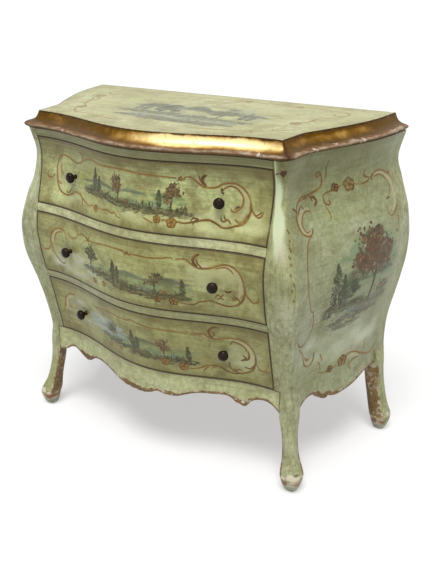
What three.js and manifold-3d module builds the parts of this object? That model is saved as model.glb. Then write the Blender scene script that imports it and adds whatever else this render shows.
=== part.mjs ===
// Bombe chest of three drawers: painted case on cabriole legs, gilt cove moulding, turned knobs.
// Millimetres, +Z up, front towards -Y. Inside the model group y is zero at the flat back.
import * as THREE from 'three';
import { mergeVertices } from 'three/addons/utils/BufferGeometryUtils.js';
import Module from 'manifold-3d';

const wasm = await Module();
wasm.setup();

// Heights
const height = 815;
const mouldingHeight = 36;
const caseTop = height - mouldingHeight;
const friezeHeight = 19;
const openingBottom = 243;
const railHeight = 20;
const drawerCount = 3;

// Case plan: depth to the front and half widths, each at the waist, with the swell of the belly
const edgeDepth = 374;
const edgeSwell = 42;
const centreDepth = 437;
const centreSwell = 26;
const cornerHalfWidth = 340;
const cornerSwell = 48;
const backHalfWidth = 440.5;
const backSwell = 42;
const waistRadius = 16;
const bellyRadius = 28;
const valleyHalfWidth = 300;
const openingHalfWidth = 318;
const apronHalfWidth = 334;

// Pairs of shares: height over the case top, then how much of the swell is there
const edgeShares = [[0.17, -0.15], [0.24, -0.18], [0.31, -0.26], [0.41, 0.07], [0.5, 0.4], [0.57, 0.74],
  [0.64, 0.94], [0.7, 1], [0.78, 0.66], [0.86, 0.2], [0.925, 0], [1, 0.27]];
const centreShares = [[0.17, -0.4], [0.31, -0.35], [0.41, 0.15], [0.5, 0.6], [0.58, 0.95], [0.64, 1],
  [0.7, 0.88], [0.78, 0.62], [0.86, 0.25], [0.925, 0.05], [1, 0.35]];
const cornerShares = [[0.17, 0.6], [0.25, 0.53], [0.4, 0.5], [0.495, 0.72], [0.597, 1], [0.64, 0.99],
  [0.715, 0.83], [0.8, 0.46], [0.845, 0.18], [0.93, 0], [1, 0.13]];
const backShares = [[0.17, 0.14], [0.23, 0.1], [0.31, 0.02], [0.4, 0.12], [0.495, 0.5], [0.56, 0.76],
  [0.62, 0.95], [0.69, 1], [0.774, 0.81], [0.818, 0.57], [0.862, 0.31], [0.92, 0.02], [1, 0.36]];
// Plan of the side: share of the depth back from the corner, then share of the widening
const sideShares = [[0, 0], [0.1, 0.035], [0.22, 0.1], [0.34, 0.31], [0.45, 0.49], [0.56, 0.66],
  [0.68, 0.81], [0.83, 0.925], [1, 1]];

// Top board and its moulding
const boardThickness = 22;
const boardCentreDepth = 420;
const boardEdgeDepth = 358;
const boardCornerHalfWidth = 326;
const boardBackHalfWidth = 425;
const boardValleyHalfWidth = 318;
const boardCornerRadius = 4;
const mouldingProjection = 34;
const ledgeWidth = 14;
const mouldingRadiusShare = 0.8;
// Moulding outline: share of the projection outward, then share of the height downward
const coveShares = [[0, 0], [0.04, 0.02], [0.09, 0.12], [0.17, 0.3], [0.33, 0.49], [0.56, 0.6],
  [0.8, 0.66], [0.95, 0.71], [1, 0.78], [0.96, 0.87], [0.85, 0.95], [0.7, 1]];

// Boards and rails
const shellThickness = 20;
const frontThickness = 22;
const backThickness = 12;
const postBackDepth = 330;
const backPostInner = 400;
const backPostDepth = 52;
const battenDepth = 40;
const bottomThickness = 8;
const bottomRailHeight = 22;

// Lower edges, cut freehand: share of the half width or depth, then share of the drop below the opening
const apronDrop = 72;
const apronShares = [[-1, 0.95], [-0.916, 0.85], [-0.88, 0.74], [-0.835, 0.69], [-0.8, 0.75],
  [-0.763, 0.85], [-0.725, 0.94], [-0.683, 0.96], [-0.644, 0.93], [-0.605, 0.79], [-0.56, 0.71],
  [-0.5, 0.69], [-0.437, 0.72], [-0.383, 0.78], [-0.311, 0.89], [-0.25, 0.96], [-0.19, 0.99],
  [-0.09, 1], [-0.027, 1], [0.036, 0.94], [0.093, 0.82], [0.141, 0.85], [0.186, 0.88], [0.251, 0.86],
  [0.3, 0.78], [0.36, 0.68], [0.42, 0.62], [0.5, 0.6], [0.6, 0.58], [0.638, 0.65], [0.668, 0.75],
  [0.704, 0.82], [0.743, 0.86], [0.763, 0.75], [0.784, 0.64], [0.808, 0.57], [0.85, 0.51],
  [0.89, 0.5], [0.922, 0.53], [0.955, 0.6], [1, 0.77]];
const sideApronShares = [[0, 0.72], [0.06, 0.61], [0.13, 0.555], [0.18, 0.555], [0.227, 0.58],
  [0.255, 0.69], [0.29, 0.85], [0.324, 0.875], [0.35, 0.83], [0.4, 0.92], [0.46, 0.96], [0.53, 0.94],
  [0.61, 0.9], [0.69, 0.82], [0.76, 0.72], [0.83, 0.64], [0.91, 0.6], [1, 0.62]];

// Legs: centres and half widths from the ankle to the ground
const frontAnkle = { x: 352, depth: 349, half: 18 };
const frontToe = { x: 376, depth: 378, half: 26 };
const backAnkle = { x: 430, depth: 28, half: 23 };
const backToe = { x: 458, depth: 30, half: 26 };
const ankleHeight = 175;
const toeHeight = 40;
const legTop = 243;
const footBaseHalf = 10;
// Height as a share of the ankle height, then the share of the way from ankle to toe
const legSplayShares = [[0, 0.96], [0.17, 1], [0.23, 0.95], [0.31, 0.8], [0.4, 0.64], [0.51, 0.48],
  [0.63, 0.33], [0.74, 0.2], [0.86, 0.09], [1, 0]];
const legSlimShares = [[0, 1], [0.23, 1], [0.31, 0.75], [0.4, 0.3], [0.51, 0], [0.63, -0.12],
  [0.74, -0.12], [0.86, -0.06], [1, 0]];
const legRadiusShare = 0.9;
const postEdgeRadius = 1.5;

// Drawers
const visibleGap = 1;
const drawerSideThickness = 11;
const drawerSideInset = 8;
const drawerTopDrop = 12;
const drawerBackDepth = 40;
const drawerBoardThickness = 6;
const drawerBoardLift = 9;

// Runners and kickers
const runnerInner = 292;
const runnerOuter = 339;
const runnerHeight = 22;
const guideGap = 1;
const guideWidth = 18;
const guideHeight = 24;
const kickerWidth = 22;

// Knobs and their screws
const knobRadius = 12.5;
const knobLength = 27;
const stemRadius = 5.5;
const knobSocketDepth = 2.5;
const knobBoreDepth = 14;
const screwRadius = 2;
const screwHeadRadius = 4.5;
const screwHeadHeight = 2.4;
const screwSeatDepth = 12;
// Knob places from left to right, as shares of the opening's half width
const lowerKnobShares = [-0.64, 0.65];
const middleKnobShares = [-0.64, 0.64];
const upperKnobShares = [-0.6, 0.64];
// Knob outline: share of the knob radius, then share of its length
const knobOutlineShares = [[0.42, 0.22], [0.38, 0.3], [0.62, 0.4], [0.9, 0.52], [1, 0.68],
  [0.9, 0.84], [0.6, 0.95], [0.25, 1]];

// Clearances
const seatGap = 0.3;
const screwGap = 0.3;
const curveGap = 0.8;

// How finely curves are stepped
const frontSteps = 9;
const sideSteps = 8;
const cornerSteps = 2;
const drawerRows = 7;
const sideRows = 16;
const apronRows = 4;
const joinSteps = 4;
const roundSteps = 10;
const screwSteps = 8;

// Worked out from the sizes above
const overallDepth = centreDepth + centreSwell;
const openingTop = caseTop - friezeHeight;
const openingPitch = (openingTop + railHeight - openingBottom) / drawerCount;
const drawerOpening = openingPitch - railHeight;
const drawerHalfWidth = openingHalfWidth - visibleGap;
const drawerSideOuter = openingHalfWidth - drawerSideInset;
const railHalfWidth = openingHalfWidth - seatGap;

// Value at t of the smooth curve through pairs of shares
function along(shares, t) {
  const last = shares.length - 1;
  if (t <= shares[0][0]) return shares[0][1];
  if (t >= shares[last][0]) return shares[last][1];
  let i = 0;
  while (t > shares[i + 1][0]) i += 1;
  const slopeAt = (k) => {
    const a = shares[Math.max(k - 1, 0)];
    const b = shares[Math.min(k + 1, last)];
    return (b[1] - a[1]) / (b[0] - a[0]);
  };
  const [t0, v0] = shares[i];
  const [t1, v1] = shares[i + 1];
  const step = t1 - t0;
  const s = (t - t0) / step;
  const rise = s * s * (3 - 2 * s);
  const leave = s * (1 - s) * (1 - s) * step * slopeAt(i);
  const arrive = s * s * (s - 1) * step * slopeAt(i + 1);
  return v0 + (v1 - v0) * rise + leave + arrive;
}

function range(count, from = 0, to = 1) {
  return Array.from({ length: count + 1 }, (_, i) => from + (to - from) * i / count);
}

const mix = (a, b, share) => a + (b - a) * share;

// Plan sizes of the case at one height
function casePlan(z) {
  const t = z / caseTop;
  const belly = Math.max(along(edgeShares, t), 0);
  return {
    edge: edgeDepth + edgeSwell * along(edgeShares, t),
    centre: centreDepth + centreSwell * along(centreShares, t),
    corner: cornerHalfWidth + cornerSwell * along(cornerShares, t),
    back: backHalfWidth + backSwell * along(backShares, t),
    radius: mix(waistRadius, bellyRadius, belly),
    valley: valleyHalfWidth,
  };
}

// Plan sizes of the top at one distance out from the edge of its board
function topPlan(out) {
  return {
    edge: boardEdgeDepth + out,
    centre: boardCentreDepth + out,
    corner: boardCornerHalfWidth + out,
    back: boardBackHalfWidth + out,
    radius: Math.max(boardCornerRadius + out * mouldingRadiusShare, boardCornerRadius),
    valley: boardValleyHalfWidth,
  };
}

// Serpentine front: y at one x
function frontY(plan, x) {
  const reach = Math.min(Math.abs(x) / plan.valley, 1);
  return -mix(plan.edge, plan.centre, (1 + Math.cos(Math.PI * reach)) / 2);
}

// Curved side: x at one y
function sideX(plan, y) {
  return mix(plan.corner, plan.back, along(sideShares, (y + plan.edge) / plan.edge));
}

const frontYAt = (x, z) => frontY(casePlan(z), x);
const frontRear = (x, z) => frontYAt(x, z) + frontThickness;
const sideXAt = (y, z) => sideX(casePlan(z), y);

// Rounded corner between front and side, from the front face to the side face
function cornerPoints(plan, steps) {
  const start = new THREE.Vector2(plan.corner - plan.radius, -plan.edge);
  const tip = new THREE.Vector2(plan.corner, -plan.edge);
  const endY = -plan.edge + plan.radius;
  const end = new THREE.Vector2(sideX(plan, endY), endY);
  return new THREE.QuadraticBezierCurve(start, tip, end).getPoints(steps);
}

const inPlan = (p) => new THREE.Vector2(p.x, p.y);
const inFrontView = (p) => new THREE.Vector2(p.x, p.z);

// Triangles over the flat end of a loop, turned the way the loop runs
function flatCap(loop, flatten = inPlan) {
  const outline = loop.map(flatten);
  const sign = Math.sign(THREE.ShapeUtils.area(outline));
  return THREE.ShapeUtils.triangulateShape(outline, []).map(([a, b, c]) => {
    const turned = Math.sign(THREE.ShapeUtils.area([outline[a], outline[b], outline[c]]));
    return turned === sign ? [a, b, c] : [a, c, b];
  });
}

// Triangles over a shaped edge, for a loop that runs out along one face and back along the other
function edgeCap(loop) {
  const last = loop.length - 1;
  const steps = [...loop.keys()].slice(0, loop.length / 2 - 1);
  return steps.flatMap((i) => [[i, i + 1, last - i - 1], [i, last - i - 1, last - i]]);
}

function signedVolume(points, index) {
  let sum = 0;
  for (let i = 0; i < index.length; i += 3) {
    const [a, b, c] = [points[index[i]], points[index[i + 1]], points[index[i + 2]]];
    sum += a.dot(new THREE.Vector3().crossVectors(b, c));
  }
  return sum;
}

function geometryFrom(points, index) {
  if (signedVolume(points, index) < 0) index.reverse();
  const geometry = new THREE.BufferGeometry().setFromPoints(points);
  geometry.setIndex(index);
  return geometry;
}

// Closed solid through rows of loops with equal counts; cap gives the triangles over an end loop
function skin(rows, cap = flatCap) {
  const count = rows[0].length;
  const index = [];
  for (let i = 0; i < rows.length - 1; i += 1) {
    for (let j = 0; j < count; j += 1) {
      const k = (j + 1) % count;
      const [a, b, c, d] = [i * count + j, i * count + k, (i + 1) * count + k, (i + 1) * count + j];
      index.push(a, b, c, a, c, d);
    }
  }
  const top = (rows.length - 1) * count;
  cap(rows[0]).forEach(([a, b, c]) => index.push(a, c, b));
  cap(rows.at(-1)).forEach(([a, b, c]) => index.push(top + a, top + b, top + c));
  return geometryFrom(rows.flat(), index);
}

// Straight-sided board between two corners
function board(x0, x1, y0, y1, z0, z1) {
  const geometry = new THREE.BoxGeometry(x1 - x0, y1 - y0, z1 - z0);
  return geometry.translate((x0 + x1) / 2, (y0 + y1) / 2, (z0 + z1) / 2);
}

// Board with a shaped front: front(x, z) and rear(x, z) give y at each station
function shapedBoard(stations, heights, front, rear) {
  const rows = heights.map((level) => {
    const fore = stations.map((x) => new THREE.Vector3(x, front(x, level(x)), level(x)));
    const aft = stations.map((x) => new THREE.Vector3(x, rear(x, level(x)), level(x)));
    return [...fore, ...aft.reverse()];
  });
  return skin(rows, edgeCap);
}

// Levels between a lower edge, which may change along the board, and a flat upper edge
function levelsBetween(lower, upper, count) {
  return range(count).map((share) => (x) => mix(lower(x), upper, share));
}

const flatRear = () => -postBackDepth;

function curvedRail(z0, z1) {
  const stations = range(2 * frontSteps, -railHalfWidth, railHalfWidth);
  return shapedBoard(stations, levelsBetween(() => z0, z1, 1), frontYAt, flatRear);
}

const apronStations = apronShares.map(([share]) => share * (apronHalfWidth - seatGap));

// Stations and front edge of what lies behind the apron
const innerStations = apronStations.filter((x) => Math.abs(x) < railHalfWidth);
const behindStations = [-railHalfWidth, ...innerStations, railHalfWidth];
const behindFront = (x, z) => frontRear(x, z) + curveGap;

function bottomRail() {
  const heights = levelsBetween(() => openingBottom - bottomRailHeight, openingBottom, 1);
  return shapedBoard(behindStations, heights, behindFront, flatRear);
}

function frontApron() {
  const lower = (x) => openingBottom - apronDrop * along(apronShares, x / (apronHalfWidth - seatGap));
  return shapedBoard(apronStations, levelsBetween(lower, openingBottom, apronRows), frontYAt, frontRear);
}

// Side board: stations run along y and the surfaces give x
function sideBoard(side) {
  const front = -postBackDepth + seatGap;
  const back = -backPostDepth - seatGap;
  const stations = sideApronShares.map(([share]) => mix(front, back, share));
  const lower = (y) => openingBottom - apronDrop * along(sideApronShares, (y - front) / (back - front));
  const rows = levelsBetween(lower, caseTop, sideRows).map((level) => {
    const face = (y, depth) => new THREE.Vector3(side * (sideXAt(y, level(y)) - depth), y, level(y));
    const outer = stations.map((y) => face(y, 0));
    const inner = stations.map((y) => face(y, shellThickness));
    return [...outer, ...inner.reverse()];
  });
  return skin(rows, edgeCap);
}

// Loop through four corners, each rounded by its own radius
function roundedLoop(corners, radii, z) {
  return corners.flatMap((corner, i) => {
    const before = corners[(i + 3) % 4];
    const after = corners[(i + 1) % 4];
    const start = corner.clone().addScaledVector(before.clone().sub(corner).normalize(), radii[i]);
    const end = corner.clone().addScaledVector(after.clone().sub(corner).normalize(), radii[i]);
    const arc = new THREE.QuadraticBezierCurve(start, corner, end).getPoints(cornerSteps);
    return arc.map((p) => new THREE.Vector3(p.x, p.y, z));
  });
}

// Half width and centre of a leg at one height
function legAt(ankle, toe, z) {
  const t = z / ankleHeight;
  const splay = along(legSplayShares, t);
  const toeShare = toeHeight / ankleHeight;
  const flare = along(legSlimShares, Math.max(t, toeShare));
  const full = ankle.half + (toe.half - ankle.half) * flare;
  const hoof = Math.sqrt(Math.min(z / toeHeight, 1));
  return {
    x: mix(ankle.x, toe.x, splay),
    y: -mix(ankle.depth, toe.depth, splay),
    half: mix(footBaseHalf, full, hoof),
  };
}

function legLoop(ankle, toe, z) {
  const { x, y, half } = legAt(ankle, toe, z);
  const signs = [[-1, -1], [1, -1], [1, 1], [-1, 1]];
  const corners = signs.map(([sx, sy]) => new THREE.Vector2(x + sx * half, y + sy * half));
  return roundedLoop(corners, corners.map(() => half * legRadiusShare), z);
}

const legLevels = [0, 0.03, 0.08, 0.14, 0.2, 0.25, 0.31, 0.38, 0.46, 0.56, 0.68, 0.8, 0.9, 1]
  .map((share) => share * ankleHeight);

function blendLoops(from, to, share) {
  return from.map((p, i) => p.clone().lerp(to[i], share));
}

// Post loop at one height: front face, rounded corner, side face and two straight inner faces
function frontPostLoop(z, inner) {
  const plan = casePlan(z);
  const rear = -postBackDepth;
  const corners = [
    new THREE.Vector2(inner, -plan.edge),
    new THREE.Vector2(plan.corner, -plan.edge),
    new THREE.Vector2(sideX(plan, rear), rear),
    new THREE.Vector2(inner, rear),
  ];
  return roundedLoop(corners, [postEdgeRadius, plan.radius, postEdgeRadius, postEdgeRadius], z);
}

function backPostLoop(z) {
  const plan = casePlan(z);
  const corners = [
    new THREE.Vector2(backPostInner, -backPostDepth),
    new THREE.Vector2(sideX(plan, -backPostDepth), -backPostDepth),
    new THREE.Vector2(sideX(plan, 0), 0),
    new THREE.Vector2(backPostInner, 0),
  ];
  return roundedLoop(corners, corners.map(() => postEdgeRadius), z);
}

function postWithLeg(side, ankle, toe, postLoop, levels) {
  const rows = legLevels.map((z) => legLoop(ankle, toe, z));
  for (const share of range(joinSteps).slice(1)) {
    const z = mix(ankleHeight, legTop, share);
    const leg = legLoop(ankle, toe, ankleHeight).map((p) => new THREE.Vector3(p.x, p.y, z));
    const ease = share * share * (3 - 2 * share);
    rows.push(blendLoops(leg, postLoop(z, apronHalfWidth), ease));
  }
  levels.forEach((z) => rows.push(postLoop(z, openingHalfWidth)));
  return skin(rows.map((loop) => loop.map((p) => new THREE.Vector3(side * p.x, p.y, p.z))));
}

const postLevels = [legTop + seatGap, ...range(sideRows, openingBottom, caseTop).slice(1)];

const frontPost = (side) => postWithLeg(side, frontAnkle, frontToe, frontPostLoop, postLevels);
const backPost = (side) => postWithLeg(side, backAnkle, backToe, backPostLoop, postLevels);

// One point of the top outline for each station, at a distance out from the board's edge
function topFront(out) {
  const plan = topPlan(out);
  const reach = plan.corner - plan.radius;
  return range(frontSteps, 0, reach).map((x) => new THREE.Vector2(x, frontY(plan, x)));
}

function topCorner(out) {
  return cornerPoints(topPlan(out), 2 * cornerSteps);
}

function topSide(out) {
  const plan = topPlan(out);
  return range(sideSteps, -plan.edge + plan.radius, 0).map((y) => new THREE.Vector2(sideX(plan, y), y));
}

function topHalf(out) {
  return [...topFront(out), ...topCorner(out).slice(1), ...topSide(out).slice(1)];
}

function mirroredLine(half) {
  const mirrored = half.slice(1).reverse().map((p) => new THREE.Vector2(-p.x, p.y));
  return [...mirrored, ...half];
}

function topBoard() {
  const outline = mirroredLine(topHalf(-seatGap));
  const levels = [height - boardThickness + seatGap, height];
  return skin(levels.map((z) => outline.map((p) => new THREE.Vector3(p.x, p.y, z))));
}

// Moulding section as pairs: distance out from the board's edge, then height
function mouldingSection() {
  const cove = coveShares.map(([out, down]) => [out * mouldingProjection, height - down * mouldingHeight]);
  const underBoard = height - boardThickness;
  return [...cove, [-ledgeWidth, caseTop + seatGap], [-ledgeWidth, underBoard], [0, underBoard]]
    .map(([out, z]) => [out, Math.max(z, caseTop + seatGap)]);
}

// Moulding length: a row of section points at each station along the outline
function mouldingLength(pick, side) {
  const section = mouldingSection();
  const lines = section.map(([out, z]) => pick(out).map((p) => new THREE.Vector3(side * p.x, p.y, z)));
  const rows = lines[0].map((_, station) => lines.map((line) => line[station]));
  const flat = section.map(([out, z]) => new THREE.Vector2(out, z));
  return skin(rows, () => flatCap(flat));
}

// Half of the front length ends at the mitre in the middle of the rounded corner
function frontMouldingLine(out) {
  return mirroredLine([...topFront(out), ...topCorner(out).slice(1, cornerSteps + 1)]);
}

function sideMouldingLine(out) {
  return [...topCorner(out).slice(cornerSteps), ...topSide(out).slice(1)];
}

// Line shortened by the seat gap at its mitred ends
function mitred(line, ends) {
  ends.forEach((end) => {
    const i = end < 0 ? line.length + end : end;
    const inward = i === 0 ? line[1] : line[i - 1];
    line[i] = line[i].clone().add(inward.clone().sub(line[i]).setLength(seatGap));
  });
  return line;
}

const frontMoulding = () => mouldingLength((out) => mitred(frontMouldingLine(out), [0, -1]), 1);
const sideMoulding = (side) => mouldingLength((out) => mitred(sideMouldingLine(out), [0]), side);

// Solid for cutting, from a closed geometry whose faces may point either way
function toSolid(geometry) {
  const mesh = welded(geometry);
  return new wasm.Manifold(new wasm.Mesh({
    numProp: 3,
    vertProperties: new Float32Array(mesh.attributes.position.array),
    triVerts: new Uint32Array(mesh.index.array),
  }));
}

function welded(geometry) {
  const bare = geometry.clone();
  bare.deleteAttribute('normal');
  bare.deleteAttribute('uv');
  const merged = mergeVertices(bare);
  const place = merged.attributes.position;
  const keys = Array.from({ length: place.count }, (_, i) => i);
  const points = keys.map((i) => new THREE.Vector3().fromBufferAttribute(place, i));
  const index = [];
  for (let i = 0; i < merged.index.count; i += 3) {
    const [a, b, c] = [0, 1, 2].map((k) => merged.index.getX(i + k));
    if (a !== b && b !== c && c !== a) index.push(a, b, c);
  }
  return geometryFrom(points, index);
}

function fromSolid(solid) {
  const mesh = solid.getMesh();
  const geometry = new THREE.BufferGeometry();
  geometry.setAttribute('position', new THREE.BufferAttribute(new Float32Array(mesh.vertProperties), 3));
  geometry.setIndex(new THREE.BufferAttribute(new Uint32Array(mesh.triVerts), 1));
  return geometry;
}

// Turned shape about Y from pairs of radius and height
function turned(pairs, steps) {
  return welded(new THREE.LatheGeometry(pairs.map(([r, y]) => new THREE.Vector2(r, y)), steps));
}

// Seat of one knob, sunk in a socket in the drawer face; it stands level and square to the curve in plan
function knobSeat(placeShare, z) {
  const x = placeShare * openingHalfWidth;
  const face = new THREE.Vector3(x, frontYAt(x, z), z);
  const outward = new THREE.Vector3(frontYAt(x + knobRadius, z) - face.y, -knobRadius, 0).normalize();
  const turn = new THREE.Quaternion().setFromUnitVectors(new THREE.Vector3(0, 1, 0), outward);
  const seat = face.addScaledVector(outward, -knobSocketDepth);
  return new THREE.Matrix4().makeRotationFromQuaternion(turn).setPosition(seat);
}

function knobGeometry() {
  const bore = screwRadius + screwGap;
  const outline = knobOutlineShares.map(([r, y]) => [r * knobRadius, seatGap + y * knobLength]);
  return turned([[0, knobBoreDepth], [bore, knobBoreDepth], [bore, seatGap], [stemRadius, seatGap],
    ...outline, [0, seatGap + knobLength]], roundSteps);
}

function screwGeometry() {
  const seat = -screwSeatDepth - seatGap;
  const tip = knobBoreDepth - screwGap;
  const base = seat - screwHeadHeight;
  return turned([[0, base], [screwHeadRadius, base], [screwHeadRadius, seat], [screwRadius, seat],
    [screwRadius, tip], [0, tip]], screwSteps);
}

// What is cut from a drawer front for one knob: outer seat, screw hole and recess for the head
function knobCutter() {
  const seat = stemRadius + screwGap;
  const hole = screwRadius + screwGap;
  const recess = screwHeadRadius + screwGap;
  const overrun = 2 * frontThickness;
  return turned([[0, -overrun], [recess, -overrun], [recess, -screwSeatDepth], [hole, -screwSeatDepth],
    [hole, 0], [seat, 0], [seat, overrun], [0, overrun]], roundSteps);
}

// Drawers: every piece is placed from the bottom of its opening
const frontLevels = (bottom) => range(drawerRows, bottom + visibleGap, bottom + drawerOpening - visibleGap);
const frontStations = range(2 * frontSteps, -drawerHalfWidth, drawerHalfWidth);

function drawerFront(bottom, knobShares) {
  const heights = frontLevels(bottom).map((z) => () => z);
  let solid = toSolid(shapedBoard(frontStations, heights, frontYAt, frontRear));
  for (const share of knobShares) {
    const cutter = knobCutter().applyMatrix4(knobSeat(share, bottom + drawerOpening / 2));
    solid = solid.subtract(toSolid(cutter));
  }
  return fromSolid(solid);
}

function drawerSide(bottom, side) {
  const inner = drawerSideOuter - drawerSideThickness;
  const top = bottom + drawerOpening - drawerTopDrop;
  const between = frontLevels(bottom).slice(1).filter((z) => z < top - visibleGap);
  const stations = side > 0 ? [inner, drawerSideOuter] : [-drawerSideOuter, -inner];
  const heights = [bottom + seatGap, ...between, top].map((z) => () => z);
  return shapedBoard(stations, heights, (x, z) => frontRear(x, z) + seatGap, () => -drawerBackDepth);
}

function drawerBottom(bottom) {
  const half = drawerSideOuter - drawerSideThickness - seatGap;
  const stations = [-half, ...frontStations.filter((x) => Math.abs(x) < half), half];
  const low = bottom + drawerBoardLift;
  const heights = levelsBetween(() => low, low + drawerBoardThickness, 1);
  return shapedBoard(stations, heights, behindFront, () => -drawerBackDepth);
}

function drawerBack(bottom) {
  const half = drawerSideOuter - drawerSideThickness - seatGap;
  const low = bottom + drawerBoardLift + drawerBoardThickness + seatGap;
  const top = bottom + drawerOpening - drawerTopDrop;
  return board(-half, half, -drawerBackDepth - drawerSideThickness, -drawerBackDepth, low, top);
}

// Runner of L section: a shelf under the drawer side and a guide beside it
function runner(bottom, side) {
  const guideInner = drawerSideOuter + guideGap;
  const guideOuter = guideInner + guideWidth;
  const shelf = [[runnerInner, 0], [runnerInner, -runnerHeight], [runnerOuter, -runnerHeight],
    [runnerOuter, 0]];
  const guide = [[guideOuter, 0], [guideOuter, guideHeight], [guideInner, guideHeight], [guideInner, 0]];
  const outline = [...shelf, ...guide];
  const ends = [-postBackDepth + seatGap, -backThickness - seatGap];
  const rows = ends.map((y) => outline.map(([x, z]) => new THREE.Vector3(side * x, y, bottom + z)));
  return skin(rows, (loop) => flatCap(loop, inFrontView));
}

function kicker(side) {
  const [x0, x1] = [runnerInner, runnerInner + kickerWidth].map((x) => side * x).sort((a, b) => a - b);
  return board(x0, x1, -postBackDepth + seatGap, -backThickness - seatGap, openingTop, caseTop - seatGap);
}

function bottomBoard() {
  const top = openingBottom - bottomRailHeight - seatGap;
  const heights = levelsBetween(() => top - bottomThickness, top, 1);
  return shapedBoard(behindStations, heights, behindFront, () => -backThickness - seatGap);
}

// Finishes
const paint = { color: 0xb3b98e, roughness: 0.5, metalness: 0 };
const drawerPaint = { color: 0xa5a878, roughness: 0.5, metalness: 0 };
const gilding = { color: 0xa87c34, roughness: 0.4, metalness: 0.6 };
const bareWood = { color: 0x9a774c, roughness: 0.8, metalness: 0 };
const darkKnob = { color: 0x1d1512, roughness: 0.3, metalness: 0 };
const steel = { color: 0x8f8f8c, roughness: 0.4, metalness: 1 };

const chest = new THREE.Group();
chest.position.y = overallDepth / 2;

function add(name, geometry, finish, matrix) {
  const mesh = new THREE.Mesh(geometry, new THREE.MeshStandardMaterial(finish));
  mesh.name = name;
  if (matrix) mesh.applyMatrix4(matrix);
  chest.add(mesh);
}

const sides = [['left', -1], ['right', 1]];
const drawers = [['lower', lowerKnobShares], ['middle', middleKnobShares], ['upper', upperKnobShares]];

add('top_panel', topBoard(), paint);
add('moulding_front', frontMoulding(), gilding);
sides.forEach(([name, side]) => add(`moulding_${name}`, sideMoulding(side), gilding));
add('top_rear_batten', board(-backPostInner, backPostInner, -battenDepth, 0, caseTop + seatGap,
  height - boardThickness), bareWood);

add('frieze_rail', curvedRail(openingTop, caseTop), paint);
['divider_rail_lower', 'divider_rail_upper'].forEach((name, i) => {
  const base = openingBottom + drawerOpening + i * openingPitch;
  add(name, curvedRail(base, base + railHeight), paint);
});
add('bottom_rail', bottomRail(), bareWood);
add('front_apron', frontApron(), paint);
add('back_board', board(-backPostInner + seatGap, backPostInner - seatGap, -backThickness, 0,
  openingBottom - bottomRailHeight, caseTop), bareWood);
add('bottom_board', bottomBoard(), bareWood);

sides.forEach(([name, side]) => {
  add(`front_post_${name}`, frontPost(side), paint);
  add(`back_post_${name}`, backPost(side), paint);
  add(`side_board_${name}`, sideBoard(side), paint);
  add(`kicker_${name}`, kicker(side), bareWood);
});

drawers.forEach(([drawer, knobShares], i) => {
  const bottom = openingBottom + i * openingPitch;
  add(`${drawer}_drawer_front`, drawerFront(bottom, knobShares), drawerPaint);
  add(`${drawer}_drawer_back`, drawerBack(bottom), bareWood);
  add(`${drawer}_drawer_bottom`, drawerBottom(bottom), bareWood);
  sides.forEach(([name, side], place) => {
    const seat = knobSeat(knobShares[place], bottom + drawerOpening / 2);
    add(`${drawer}_drawer_side_${name}`, drawerSide(bottom, side), bareWood);
    add(`${drawer}_runner_${name}`, runner(bottom, side), bareWood);
    add(`${drawer}_knob_${name}`, knobGeometry(), darkKnob, seat);
    add(`${drawer}_knob_screw_${name}`, screwGeometry(), steel, seat);
  });
});

const group = new THREE.Group();
group.add(chest);
export default group;
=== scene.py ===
import math
import bpy
import numpy as np
from mathutils import Matrix, Vector


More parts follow.
